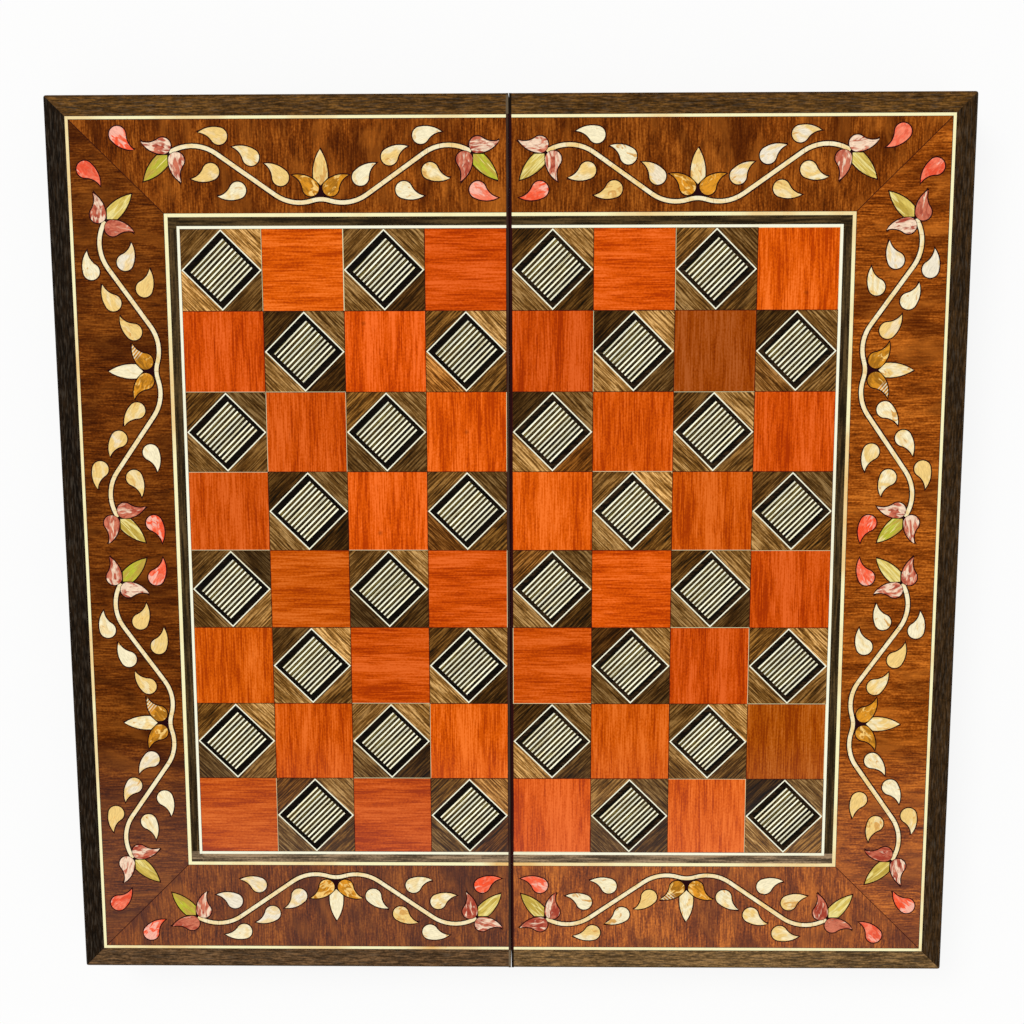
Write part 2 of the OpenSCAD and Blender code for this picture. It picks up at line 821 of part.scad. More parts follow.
amber_petals(LEFT);  // amber_petals_left
amber_petals(RIGHT);  // amber_petals_right
centre_petals(LEFT);  // centre_petals_left
centre_petals(RIGHT);  // centre_petals_right
playing_field(LEFT);  // playing_field_left
playing_field(RIGHT);  // playing_field_right
light_points(LEFT);  // light_points_left
light_points(RIGHT);  // light_points_right
dark_points(LEFT);  // dark_points_left
dark_points(RIGHT);  // dark_points_right
felt_pads(LEFT);  // felt_pads_left
felt_pads(RIGHT);  // felt_pads_right
hinge_leaves(LEFT);  // hinge_leaves_left
hinge_leaves(RIGHT);  // hinge_leaves_right
hinge_screw_set(LEFT);  // hinge_screws_left
hinge_screw_set(RIGHT);  // hinge_screws_right
hinge_pins();
latch_hook(FAR);  // latch_hook_far
latch_hook(NEAR);  // latch_hook_near
latch_pivots();
latch_catches();
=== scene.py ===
"""Looks of a folding chess and backgammon board: marquetry, shell inlays, walnut walls and brass."""
import math

import bpy
import numpy as np
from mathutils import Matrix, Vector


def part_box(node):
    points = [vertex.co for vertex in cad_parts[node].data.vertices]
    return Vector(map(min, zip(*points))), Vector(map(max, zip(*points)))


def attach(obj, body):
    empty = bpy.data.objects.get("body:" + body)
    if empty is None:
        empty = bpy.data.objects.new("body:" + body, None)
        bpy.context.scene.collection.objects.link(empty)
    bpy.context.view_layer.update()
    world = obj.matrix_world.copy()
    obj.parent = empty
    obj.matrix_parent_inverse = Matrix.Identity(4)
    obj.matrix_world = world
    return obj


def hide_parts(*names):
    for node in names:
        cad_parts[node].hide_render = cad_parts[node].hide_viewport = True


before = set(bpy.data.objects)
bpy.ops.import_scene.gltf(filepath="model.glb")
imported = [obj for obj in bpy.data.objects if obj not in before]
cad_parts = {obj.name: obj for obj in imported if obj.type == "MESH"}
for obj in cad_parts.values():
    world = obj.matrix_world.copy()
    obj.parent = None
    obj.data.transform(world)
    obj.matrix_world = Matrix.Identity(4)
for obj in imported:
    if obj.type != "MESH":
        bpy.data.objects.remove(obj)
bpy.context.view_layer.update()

bl_info = {
    "name": "Folding Board Looks",
    "version": (1, 0, 0),
    "blender": (4, 5, 0),
    "location": "3D View > Sidebar > Board",
    "description": "Finishes the pieces of an inlaid folding chess and backgammon board",
    "category": "Object",
}

HALVES = ("left", "right")
MM = 1000
MICRONS = 1e6
DIAGONAL = math.sqrt(0.5)
# A square's name: its column out from the seam, its row from the far side, and -1 or 1 for its half
DARK_SQUARES = ((2, 1, 1), (3, 6, 1))
TURNED_SQUARES = ((1, 5, -1), (0, 5, 1), (3, 7, -1), (1, 7, -1), (3, 0, 1), (3, 4, 1))
# What the colour of the dark squares is multiplied by
DARKENED = (0.58, 0.75, 0.95)
# A painted sheen on the near side: paler from one place along the board to another, in millimetres, by this
# share at the most
SHEEN_FROM, SHEEN_TO, SHEEN_SHARE = -110, -180, 0.025
# How far the noise moves along and across the grain with a piece's random number
SEED_MOVES = (37.0, 91.0)
# A wall's random number is the sum of its name's character codes times this
NAME_SEED = 0.013
# Flecks and thin lines come up softly over this much of the noise
SOFT_EDGE = 0.06
# Heart of the rings at a wall's ends, across and up from the middle of the board's underside, and
# the width of a ring, in millimetres
END_HEART, RING_WIDTH = (18, -30, 0), 1.6
# Thickness of one ply, in millimetres
PLY = 0.8
# Rings of points at each side of a screw's slot, and points over its head in each ring
PLAIN_RINGS, HEAD_POINTS = 7, 9
# Radius of the ball that crowns a latch pivot, in radii of its head
PIVOT_CROWN = 2
# How far a knot may lie from its square's middle, in millimetres
KNOT_REACH = 16
INLAYS = ("vine_stems", "cream_leaves", "red_drops", "pink_petals", "green_leaves", "amber_petals",
          "centre_petals")


def srgb(code):
    """Linear red, green and blue of a six-digit colour code, each by the sRGB curve."""
    parts = np.array([int(code[i:i + 2], 16) for i in (0, 2, 4)]) / 255
    linear = np.where(parts <= 0.04045, parts / 12.92, ((parts + 0.055) / 1.055) ** 2.4)
    return tuple(float(c) for c in linear)


def edge(node, corner, axis):
    """One side of a node's box, as a distance from the middle of the board in metres."""
    return abs(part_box(node)[corner][axis])


def length_prop(name, description, default):
    """A length in metres."""
    return bpy.props.FloatProperty(
        name=name, description=description, default=default, unit="LENGTH", precision=5)


def colour_prop(name, code):
    """A colour of the finishes."""
    return bpy.props.FloatVectorProperty(
        name=name, description=f"{name} of the finished board", default=srgb(code),
        size=3, min=0, max=1, subtype="COLOR")


class BoardSizes(bpy.types.PropertyGroup):
    """Sizes that the finishes and the stage follow, taken from the frame where it has them."""

    lip: length_prop("Lip", "From the seam to the first square", edge("orange_squares_right", 0, 0))
    field_x: length_prop(
        "Field width", "From the seam to the last square's side", edge("orange_squares_right", 1, 0))
    field_y: length_prop(
        "Field length", "From the middle to the last square's side", edge("orange_squares_right", 1, 1))
    half_x: length_prop("Half width", "From the seam to the outer face", edge("long_wall_right", 1, 0))
    half_y: length_prop("Half length", "From the middle to the outer face", edge("long_wall_right", 1, 1))
    face: length_prop("Face height", "Height of the chess face", edge("long_wall_right", 1, 2))
    bed: length_prop("Bed height", "Height of the underside of the inlays", edge("cream_leaves_right", 0, 2))
    filler: length_prop("Filler width", "Reach of the filler round an inlay", 0.00065)
    filler_dip: length_prop("Filler dip", "Depth of the filler under the face", 0.00002)
    veneer_dip: length_prop("Veneer dip", "Depth of the worn border veneer under the face", 0.00004)
    flower_bed: length_prop("Flower bed", "Radius of the filler under a flower", 0.0022)
    middle_bed: length_prop("Middle bed", "Radius of the filler under a vine's middle", 0.0065)
    border: length_prop("Border width", "Width of a border veneer band", 0.05)
    pitch: length_prop("Strip pitch", "From one dark strip of a diamond to the next", 0.002395)
    point_pitch: length_prop("Point pitch", "From one point of the backgammon field to the next", 0.03745)
    screw_slot: length_prop("Screw slot", "Width of a screw's slot", 0.0008)
    slot_depth: length_prop("Slot depth", "Depth of a screw's slot", 0.0007)
    screw_shank: length_prop("Hinge screw shank", "Radius of a hinge screw's shank", 0.0011)
    screw_cone: length_prop("Hinge screw head", "Depth of a hinge screw's head", 0.001)
    pivot_shank: length_prop("Pivot shank", "Radius of a latch pivot's shank", 0.0012)
    pivot_head: length_prop("Pivot head", "Thickness of a latch pivot's head", 0.0013)
    joint: length_prop("Joint width", "Width of a dark joint at a piece's side", 0.0002)
    floor: length_prop("Floor size", "Side of the floor", 12.0)
    lens: bpy.props.FloatProperty(
        name="Lens", description="Focal length of the camera", default=54.206, unit="CAMERA")
    camera_place: bpy.props.FloatVectorProperty(
        name="Camera place", description="Where the camera stands", size=3, precision=5,
        default=(0.014542, 0.159848, 0.888591), subtype="TRANSLATION", unit="LENGTH")
    camera_turn: bpy.props.FloatVectorProperty(
        name="Camera turn", description="How the camera is turned", size=3, precision=5,
        default=(-0.161332, 0.015287, -0.002803), subtype="EULER", unit="ROTATION")


class BoardLight(bpy.types.PropertyGroup):
    """Light of the stage, and how white the floor looks."""

    sun: bpy.props.FloatProperty(name="Sun", description="Strength of the soft key light", default=1.5)
    sun_softness: bpy.props.FloatProperty(
        name="Sun softness", description="Width of the soft key light", subtype="ANGLE",
        unit="ROTATION", default=math.radians(25))
    sun_turn: bpy.props.FloatVectorProperty(
        name="Sun turn", description="How the soft key light is turned", size=3, subtype="EULER",
        unit="ROTATION", default=(math.radians(-30), math.radians(-28), 0))
    sky: bpy.props.FloatProperty(
        name="Sky", description="Strength of the even light from all round", default=0.6)
    glow: bpy.props.FloatProperty(
        name="Floor glow", description="Share of plain white in the floor that is seen", default=0.87,
        subtype="FACTOR")


class BoardColours(bpy.types.PropertyGroup):
    """Colours of woods, shells, filler, felt and brass."""

    wall_left: colour_prop("Left long wall", "1b1107")
    wall_right: colour_prop("Right long wall", "33220f")
    wall_far: colour_prop("Far walls", "5a3c18")
    # The near walls' colours: their own tone, lifted by a painted sheen on the near side
    wall_near_left: colour_prop("Near left wall", "5c432a")
    wall_near_right: colour_prop("Near right wall", "735734")
    lip: colour_prop("Worn lip at the seam", "6f5f4a")
    walnut_dark: colour_prop("Dark walnut", "160e04")
    walnut: colour_prop("Walnut", "50300c")
    walnut_light: colour_prop("Light walnut", "8c612a")
    walnut_pale: colour_prop("Pale walnut", "d2a566")
    plywood: colour_prop("Plywood", "c7a06a")
    mahogany_dark: colour_prop("Dark mahogany", "431700")
    mahogany: colour_prop("Mahogany", "7e3b07")
    mahogany_gold: colour_prop("Golden mahogany", "b8661e")
    cream: colour_prop("Cream wood", "fff8c4")
    cream_deep: colour_prop("Deep cream wood", "efb866")
    scuff: colour_prop("Scuffed wood", "75695a")
    maple: colour_prop("Maple", "e8cf98")
    bone: colour_prop("Bone", "fffde2")
    bone_deep: colour_prop("Old bone", "eee2b4")
    orange_dark: colour_prop("Dark orange wood", "aa3700")
    orange: colour_prop("Orange wood", "d55504")
    # Colour of the painted sheen on the near side
    fade: colour_prop("Painted near sheen", "f0e6f0")
    orange_light: colour_prop("Light orange wood", "ee6e26")
    joint_dark: colour_prop("Joint", "45100c")
    band: colour_prop("Black band", "0e0804")
    band_brown: colour_prop("Brown black band", "22170b")
    banding: colour_prop("Dark banding", "3e2f19")
    # Banding colour with a painted sheen, for the near lengths
    banding_near_sheen: colour_prop("Near banding with painted sheen", "75614a")
    strip_light: colour_prop("Light strips", "fffbdc")
    olive: colour_prop("Olive strips", "56421a")
    olive_light: colour_prop("Light olive strips", "8c7c3c")
    olive_dark: colour_prop("Dark olive strips", "140f06")
    leaf_pale: colour_prop("Pale shell", "fdf0c8")
    leaf_white: colour_prop("White shell", "f7ebd2")
    leaf_yellow: colour_prop("Yellow shell", "f6d080")
    leaf_shade: colour_prop("Shaded shell", "e0a95a")
    red: colour_prop("Red shell", "fd562e")
    red_dark: colour_prop("Dark red shell", "ee5434")
    red_light: colour_prop("Coral shell", "ff8868")
    red_pale: colour_prop("Pale coral shell", "ffb8a2")
    pink: colour_prop("Pink shell", "d87a5c")
    pink_dark: colour_prop("Dark pink shell", "a8402c")
    pink_light: colour_prop("Pale pink shell", "fcdcbe")
    green: colour_prop("Green shell", "e6cb66")
    green_dark: colour_prop("Dark green shell", "c2a442")
    green_light: colour_prop("Pale green shell", "f2e090")
    green_vivid: colour_prop("Vivid green shell", "bfc434")
    amber: colour_prop("Amber shell", "e89a24")
    amber_dark: colour_prop("Dark amber shell", "a66b12")
    amber_light: colour_prop("Pale amber shell", "ffd078")
    filler: colour_prop("Filler", "2a080c")
    felt: colour_prop("Felt", "2d5636")
    brass: colour_prop("Brass", "d2a758")
    brass_dark: colour_prop("Tarnished brass", "8d6a30")
    floor: colour_prop("Floor", "f6f5f2")


def adds(operation, flipped=False):
    """A method of Number that adds one math node, with its numbers the other way round if flipped."""
    def method(self, *other):
        numbers = (*other, self) if flipped else (self, *other)
        return self.nodes.math(operation, *numbers)
    return method


class Number:
    """A number in a node tree. Arithmetic adds nodes, and a comparison gives one or zero."""

    def __init__(self, nodes, socket):
        self.nodes, self.socket = nodes, socket

    __add__, __radd__ = adds("ADD"), adds("ADD", flipped=True)
    __sub__, __rsub__ = adds("SUBTRACT"), adds("SUBTRACT", flipped=True)
    __mul__, __truediv__, __mod__ = adds("MULTIPLY"), adds("DIVIDE"), adds("MODULO")
    __lt__, __gt__, __abs__ = adds("LESS_THAN"), adds("GREATER_THAN"), adds("ABSOLUTE")
    floor, fract, sign, sine = adds("FLOOR"), adds("FRACT"), adds("SIGN"), adds("SINE")
    maximum, minimum = adds("MAXIMUM"), adds("MINIMUM")


class Nodes:
    """A node tree. Each method adds a node, and sockets, numbers and plain values mix freely."""

    def __init__(self, tree):
        self.tree = tree

    def put(self, socket, value):
        """Links a socket to a socket, or sets its plain value."""
        if isinstance(value, Number):
            value = value.socket
        if isinstance(value, bpy.types.NodeSocket):
            self.tree.links.new(value, socket)
        elif socket.type == "RGBA":
            socket.default_value = (*tuple(value)[:3], 1)
        else:
            socket.default_value = value

    def node(self, kind, *values, **settings):
        """A node with its settings, and its inputs in order; None leaves an input alone."""
        made = self.tree.nodes.new(kind)
        for key, value in settings.items():
            setattr(made, key, value)
        for socket, value in zip(made.inputs, values):
            if value is not None:
                self.put(socket, value)
        return made

    def number(self, kind, *values, output=0, **settings):
        """A node's output as a number."""
        return Number(self, self.node(kind, *values, **settings).outputs[output])

    def math(self, operation, *values, clamp=False):
        return self.number("ShaderNodeMath", *values, operation=operation, use_clamp=clamp)

    def vector(self, operation, a, b=None, scale=None):
        made = self.node("ShaderNodeVectorMath", a, b, operation=operation)
        if scale is not None:
            made.inputs["Scale"].default_value = scale
        return made.outputs[0]

    def distance(self, a, b=(0, 0, 0)):
        """How far one place is from another."""
        return self.number("ShaderNodeVectorMath", a, b, operation="DISTANCE", output="Value")

    def split(self, vector):
        return [Number(self, part) for part in self.node("ShaderNodeSeparateXYZ", vector).outputs]

    def join(self, x, y, z=0):
        return self.node("ShaderNodeCombineXYZ", x, y, z).outputs[0]

    def noise(self, vector, detail=2, roughness=0.5, distortion=0):
        """Noise with features one unit apart."""
        made = self.node("ShaderNodeTexNoise", vector)
        for key, value in (("Scale", 1), ("Detail", detail), ("Roughness", roughness),
                           ("Distortion", distortion)):
            made.inputs[key].default_value = value
        return Number(self, made.outputs["Fac"])

    def random(self, vector):
        """A random number and a random colour for each whole-number place."""
        made = self.node("ShaderNodeTexWhiteNoise", vector, noise_dimensions="3D")
        return Number(self, made.outputs["Value"]), made.outputs["Color"]

    def stretch(self, value, low, high, to_low=0, to_high=1):
        """Maps a range onto another, and holds the ends."""
        return self.number("ShaderNodeMapRange", value, low, high, to_low, to_high)

    def pick(self, test, no, yes):
        """One number or another."""
        return self.number("ShaderNodeMix", test, None, no, yes)

    def mix(self, factor, a, b, blend="MIX"):
        made = self.node("ShaderNodeMix", data_type="RGBA", blend_type=blend)
        for socket, value in zip((made.inputs[0], made.inputs[6], made.inputs[7]), (factor, a, b)):
            self.put(socket, value)
        return made.outputs[2]

    def times(self, colour, level):
        """The colour times a number."""
        return self.mix(1, colour, self.join(level, level, level), blend="MULTIPLY")

    def ramp(self, value, *stops):
        """A colour for each value, from (place, colour) pairs in order."""
        made = self.node("ShaderNodeValToRGB", value)
        elements = made.color_ramp.elements
        while len(elements) < len(stops):
            elements.new(1)
        for element, (position, colour) in zip(elements, stops):
            element.position = position
            element.color = (*tuple(colour)[:3], 1)
        return made.outputs["Color"]

    def seen(self):
        """One where the camera sees it, straight or through a gloss or a glass, and zero elsewhere."""
        path = self.node("ShaderNodeLightPath").outputs
        mirrored = self.math("MAXIMUM", path["Is Glossy Ray"], path["Is Transmission Ray"])
        return self.math("MAXIMUM", path["Is Camera Ray"], mirrored)


class Finish(Nodes):
    """The node tree of one material."""

    def __init__(self, name):
        self.material = bpy.data.materials.new(name)
        self.material.use_nodes = True
        super().__init__(self.material.node_tree)
        self.shader = self.tree.nodes["Principled BSDF"]

    def place(self):
        """Place on the object, in millimetres."""
        coordinates = self.node("ShaderNodeTexCoord").outputs["Object"]
        return self.vector("SCALE", coordinates, scale=MM)

    def cloud(self, scale, **noise):
        """Noise on the object, with so many features to a millimetre."""
        return self.noise(self.vector("SCALE", self.place(), scale=scale), **noise)

    def along(self):
        """Place on an inlay's own map, in millimetres along and across it."""
        return self.vector("SCALE", self.node("ShaderNodeUVMap", uv_map="grain").outputs[0], scale=MM)

    def tone(self):
        """An inlay's own random number."""
        return self.number("ShaderNodeAttribute", attribute_name="tone", output="Fac")

    def finish(self, colour, height=None, bump_mm=0.02, roughness=0.35, specular=0.03,
               metallic=0):
        """Colour, gloss and relief; height is in units of bump_mm."""
        inputs = self.shader.inputs
        self.put(inputs["Base Color"], colour)
        self.put(inputs["Roughness"], roughness)
        inputs["Metallic"].default_value = metallic
        inputs["Specular IOR Level"].default_value = specular
        if height is not None:
            bump = self.node("ShaderNodeBump")
            bump.inputs["Distance"].default_value = bump_mm / MM
            self.put(bump.inputs["Height"], height)
            self.put(inputs["Normal"], bump.outputs[0])
        return self.material


def sizes():
    return bpy.context.scene.board_sizes


def colours():
    return bpy.context.scene.board_colours


# Woods. Grain is noise stretched along one direction: broad figure, fibres, specks and short flecks.
def wood(f, along, across, seed, tones, figure=(60, 7), fibre=(6, 0.9), fleck=(3, 0.8), spread=0.1,
         share=0.5, flecks=0.4, fleck_at=0.6, speck=0.3, wave=0.6):
    """Colour and height of wood at a place in millimetres along and across its grain. A smaller
    spread gives more contrast, share is the part of the broad figure in it, speck the part of the
    specks in the rest, fleck_at the level over which the dark flecks begin, and wave bends the
    broad figure."""
    def layer(size, shift, **noise):
        long, wide = size
        x = along / long + seed * (SEED_MOVES[0] + shift)
        y = across / wide + seed * (SEED_MOVES[1] + shift)
        return f.noise(f.join(x, y, shift), **noise)

    def blend(a, b, part):
        return a * (1 - part) + b * part

    fine = layer(fibre, 7.7, detail=2)
    weave = blend(fine, layer((1.3, 1.0), 3.9, detail=1), speck)
    value = blend(weave, layer(figure, 1.3, detail=3, distortion=wave), share)
    value = f.stretch(value, 0.5 - spread, 0.5 + spread)
    colour = f.ramp(value, (0.0, tones[0]), (0.5, tones[1]), (1.0, tones[2]))
    dash = f.stretch(layer(fleck, 13.1, detail=1), fleck_at, fleck_at + SOFT_EDGE, 0, flecks)
    return f.mix(dash, colour, scaled(tones[0], 0.5)), fine * 0.5 - dash


def scaled(colour, factor):
    """A colour made darker or lighter."""
    return tuple(min(c * factor, 1) for c in tuple(colour)[:3])


def shades(colour, dark=0.35, light=2.2):
    """Three tones of one wood."""
    return scaled(colour, dark), tuple(colour)[:3], scaled(colour, light)


def shaded(f, colour, low, high, chance):
    """The colour, darker or lighter by a random share."""
    return f.times(colour, f.stretch(chance, 0, 1, low, high))


def painted_near_sheen(f, colour, y):
    """A little paler toward the near side: a painted sheen that stands for the lacquer's reflection there.
    """
    return f.mix(f.stretch(y, SHEEN_FROM, SHEEN_TO, 0, SHEEN_SHARE), colour, colours().fade)


def field_tile(f):
    """Place in its own square, in millimetres from the square's middle, and the square's number
    and side."""
    s = sizes()
    square = (s.field_x - s.lip) / 4 * MM
    x, y, _ = f.split(f.place())
    side = x.sign()
    out = (abs(x) - s.lip * MM) / square
    down = (s.field_y * MM - y) / square
    number = f.join(out.floor(), down.floor(), side)
    return (out.fract() - 0.5) * square * side, (0.5 - down.fract()) * square, number, square


def jointed(f, colour, tile):
    """Darkens a thin uneven line round a square. One side in eight has a short cream line there."""
    c, (x, y, number, square) = colours(), tile
    wide, high = abs(x), abs(y)
    gap = square / 2 - wide.maximum(high)
    joint = sizes().joint * MM
    colour = f.mix(gap < f.cloud(0.25) * (joint * 2), colour, c.joint_dark)
    upright = wide > high
    sign = f.pick(upright, y, x).sign()
    own = f.join(upright * 7, sign * 3, 5)
    chance, more = f.random(f.vector("ADD", f.vector("SCALE", number, scale=11), own))
    run, _, _ = f.split(more)
    part = abs(f.pick(upright, x, y)) < f.stretch(run, 0, 1, 6, 40)
    return f.mix((gap < joint * 1.2) * ((chance > 0.88) * part) * 0.85, colour, c.cream)


def among(f, number, squares):
    """One in the named squares, and zero in the others."""
    return sum((f.distance(number, square) < 0.5 for square in squares), 0.0)


def orange_finish():
    """Orange wood: each square has its own tone, and two are much darker. The grain lies across the
    board in every fourth row and along it in the others, and a few named squares lie the other way."""
    c, f = colours(), Finish("orange squares")
    tile = field_tile(f)
    x, y, number, _ = tile
    chance, more = f.random(number)
    tone, knot_x, knot_y = f.split(more)
    row = f.split(number)[1]
    across_row = (row % 4) < 0.5
    turned = f.math("COMPARE", across_row + among(f, number, TURNED_SQUARES), 1, 0.1)
    along, across = f.pick(turned, y, x), f.pick(turned, x, y)
    tones = (c.orange_dark, c.orange, c.orange_light)
    colour, height = wood(f, along, across, chance, tones, figure=(70, 9), fibre=(16, 0.8),
                          fleck=(8, 0.7), spread=0.1, share=0.4, flecks=0.2, fleck_at=0.66,
                          speck=0.3, wave=0.2)
    level, redder = f.stretch(tone, 0, 1, 0.87, 1.2), f.stretch(knot_x, 0, 1, 0.86, 1.14)
    colour = f.mix(1, colour, f.join(level, level * redder, level), blend="MULTIPLY")
    colour = f.mix(among(f, number, DARK_SQUARES), colour, DARKENED, blend="MULTIPLY")
    away = f.distance(f.join(x - f.stretch(knot_x, 0, 1, -KNOT_REACH, KNOT_REACH),
                             y - f.stretch(knot_y, 0, 1, -KNOT_REACH, KNOT_REACH)))
    knot = f.stretch(away, 0.3, 1.8, 1, 0) * (tone > 0.9)
    colour = f.mix(knot * 0.5, colour, scaled(c.orange_dark, 0.4))
    # Painted sheen on the near side
    colour = painted_near_sheen(f, colour, f.split(f.place())[1])
    return f.finish(jointed(f, colour, tile), height, roughness=0.32)


def corner_finish():
    """Walnut corners: pale in the far right and near left of a square and dark in the other two,
    more or less by chance, with the grain along the diamond's side."""
    c, f = colours(), Finish("walnut corners")
    tile = field_tile(f)
    x, y, number, _ = tile
    quarter = (x > 0) + (y > 0) * 2
    own = f.vector("ADD", f.vector("SCALE", number, scale=5), f.join(quarter, 0, 0))
    chance, more = f.random(own)
    tone, level, hue = f.split(more)
    leaning = (x * y).sign() * y
    along, across = (x - leaning) * DIAGONAL, (x + leaning) * DIAGONAL
    deep, height = wood(f, along, across, chance, (c.walnut_dark, c.walnut, c.walnut_light),
                        figure=(25, 8), fibre=(12, 0.7), spread=0.13, share=0.25, flecks=0.25,
                        speck=0.15)
    pale, _ = wood(f, along, across, chance, (scaled(c.walnut, 0.8), c.walnut_light, c.walnut_pale),
                   figure=(26, 7), fibre=(12, 0.7), fleck=(4, 0.7), spread=0.12, share=0.25,
                   flecks=0.45, fleck_at=0.58, speck=0.15)
    bases = f.ramp(quarter / 3, (0.0, (0.95,) * 3), (0.32, (0.1,) * 3),
                   (0.65, (0.05,) * 3), (0.98, (0.9,) * 3))
    share = f.math("ADD", bases, f.stretch(tone, 0, 1, -0.25, 0.25), clamp=True)
    colour = shaded(f, f.mix(share, deep, pale), 0.4, 1.7, level)
    odd = f.ramp(hue, (0.02, (0.35, 0.33, 0.3)), (0.12, (1, 1, 1)), (0.88, (1, 1, 1)),
                 (0.98, (1, 0.7, 0.4)))
    colour = f.mix(1, colour, odd, blend="MULTIPLY")
    # Painted sheen on the near side
    colour = painted_near_sheen(f, colour, f.split(f.place())[1])
    return f.finish(jointed(f, colour, tile), height, roughness=0.34)


def strip_finish(name, tones, shift, line_colour, line_at, edge_shade=1.0):
    """Narrow strips that run from near left to far right. Each has its own shade, thin lines run
    along some of them, and the ones next to the band may be darker."""
    f, pitch = Finish(name), sizes().pitch * MM
    x, y, number, _ = field_tile(f)
    along, across = (x + y) * DIAGONAL, (y - x) * DIAGONAL
    strip = (across / pitch + shift).floor()
    chance, _ = f.random(f.vector("ADD", f.vector("SCALE", number, scale=31), f.join(strip, 0, 0)))
    colour, height = wood(f, along, across, chance, tones, figure=(14, 1.6), fibre=(5, 0.6),
                          spread=0.15, flecks=0.2)
    colour = shaded(f, colour, 0.85, 1.2, chance)
    if edge_shade < 1:
        middle = ((across / pitch + shift).fract() - 0.5) * pitch
        reach = f.stretch(across, -11, 11, 0.0, 0.3) + chance * 0.1
        rim = f.stretch(abs(middle) - reach, -0.05, 0.2, 0, 0.9)
        colour = f.mix(rim, colour, line_colour)
        outermost = abs(across) > 4.6 * pitch
        colour = f.mix(outermost, colour, scaled(tones[0], edge_shade))
    line = f.noise(f.join(along / 25, across / 0.35, chance), detail=1)
    colour = f.mix(f.stretch(line, line_at, line_at + SOFT_EDGE), colour, line_colour)
    return f.finish(colour, height, roughness=0.35)


def mahogany_finish():
    """Border veneer: the grain runs across each band, with smoky clouds and golden streaks. The
    left band is the darkest veneer and the right one the palest. The far ones grow paler to their
    right end and the near ones to their left end."""
    c, f = colours(), Finish("border veneer")
    x, y, _ = f.split(f.place())
    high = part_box("border_veneer_right")[1]
    out_x, out_y = abs(x) - high[0] * MM, abs(y) - high[1] * MM
    side = out_x > out_y
    end = 1 - side
    along, across = f.pick(side, y, x), f.pick(side, x, y)
    right, near = x.sign(), y < 0
    chance, _ = f.random(f.join(side, right, near * end))
    tones = (c.mahogany_dark, c.mahogany, c.mahogany_gold)
    colour, height = wood(f, along, across, chance, tones, figure=(34, 12), fibre=(9, 0.8),
                          fleck=(7, 0.6), spread=0.14, share=0.3, flecks=0.45, fleck_at=0.62,
                          speck=0.35)
    cloud = f.noise(f.join(along / 40, across / 18, chance), detail=4, distortion=0.7)
    colour = f.mix(f.stretch(cloud, 0.5, 0.64, 0, 0.6), colour, c.mahogany_dark)
    gold = f.noise(f.join(along / 32, across / 13, chance + 5), detail=3, distortion=1)
    colour = f.mix(f.stretch(gold, 0.52, 0.74, 0, 0.5), colour, c.mahogany_gold)
    by_side = side * f.stretch(right, -1, 1, -0.34, 0.42)
    # The near bands: their own tone from left to right, and a lift that is a painted sheen on the near side
    near_tone_and_sheen = near * end * f.stretch(right, -1, 1, -0.15, 0.45)
    run = (x / (sizes().half_x * MM)).fract() - 0.5
    drift = end * run * f.stretch(y, -1, 1, -0.2, 0.24)
    # Painted sheen on the near side, over the veneer's tones
    colour = painted_near_sheen(f, f.times(colour, 1 + drift + (by_side + near_tone_and_sheen)), y)
    outer = out_x.maximum(out_y)
    rim = abs(outer).minimum(abs(outer + sizes().border * MM))
    seam = rim.minimum(abs(out_x - out_y)) < sizes().joint * MM * 1.5
    colour = f.mix(seam * 0.9, colour, c.filler)
    return f.finish(colour, height, roughness=0.33)


def line_finish(name, pale, deep, at):
    """Cream or bone lines: long stretches of a deeper tone begin at a level of the noise."""
    f = Finish(name)
    cloud, fleck = f.cloud(0.018, detail=3), f.cloud(0.9)
    share = f.stretch(cloud, at, at + 0.2, 0, 0.8) + f.stretch(fleck, 0.56, 0.8, 0, 0.4)
    return f.finish(f.mix(share.minimum(1), pale, deep), fleck, roughness=0.3)


def banding_finish(name, colour, near=None):
    """Dark banding, streaked along the board's sides, and the diamonds' bands. The near lengths of the
    banding may take a paler tone, which is a painted sheen that stands for the lacquer's reflection."""
    s, f = sizes(), Finish(name)
    x, y, _ = f.split(f.place())
    side, end = abs(x) > s.field_x * MM, abs(y) > s.field_y * MM
    across_side = side * (1 - end)
    along, across = f.pick(across_side, x, y), f.pick(across_side, y, x)

    def streaked(base):
        return wood(f, along, across, side, shades(base), figure=(40, 2.2), fibre=(16, 1.0),
                    spread=0.08, flecks=0.3)

    colour, height = streaked(colour)
    # Painted sheen: the near lengths take the paler near colour
    if near is not None:
        near_sheen_mask = end * (y < 0)
        colour = f.mix(near_sheen_mask, colour, streaked(near)[0])
    return f.finish(colour, height, roughness=0.4)


def end_grain(f, across, up, base):
    """The end of a board: uneven growth rings round a heart that lies below the board."""
    waver = f.noise(f.join(across / 6, up / 6, 4), detail=2)
    ring = (f.distance(f.join(across, up), END_HEART) / RING_WIDTH + waver * 1.5).fract()
    pores = f.noise(f.join(across * 3, up * 3, 8), detail=1)
    value = ring * 0.5 + pores * 0.5
    return f.ramp(value, (0.25, scaled(base, 1.6)), (0.5, base), (0.75, scaled(base, 0.4)))


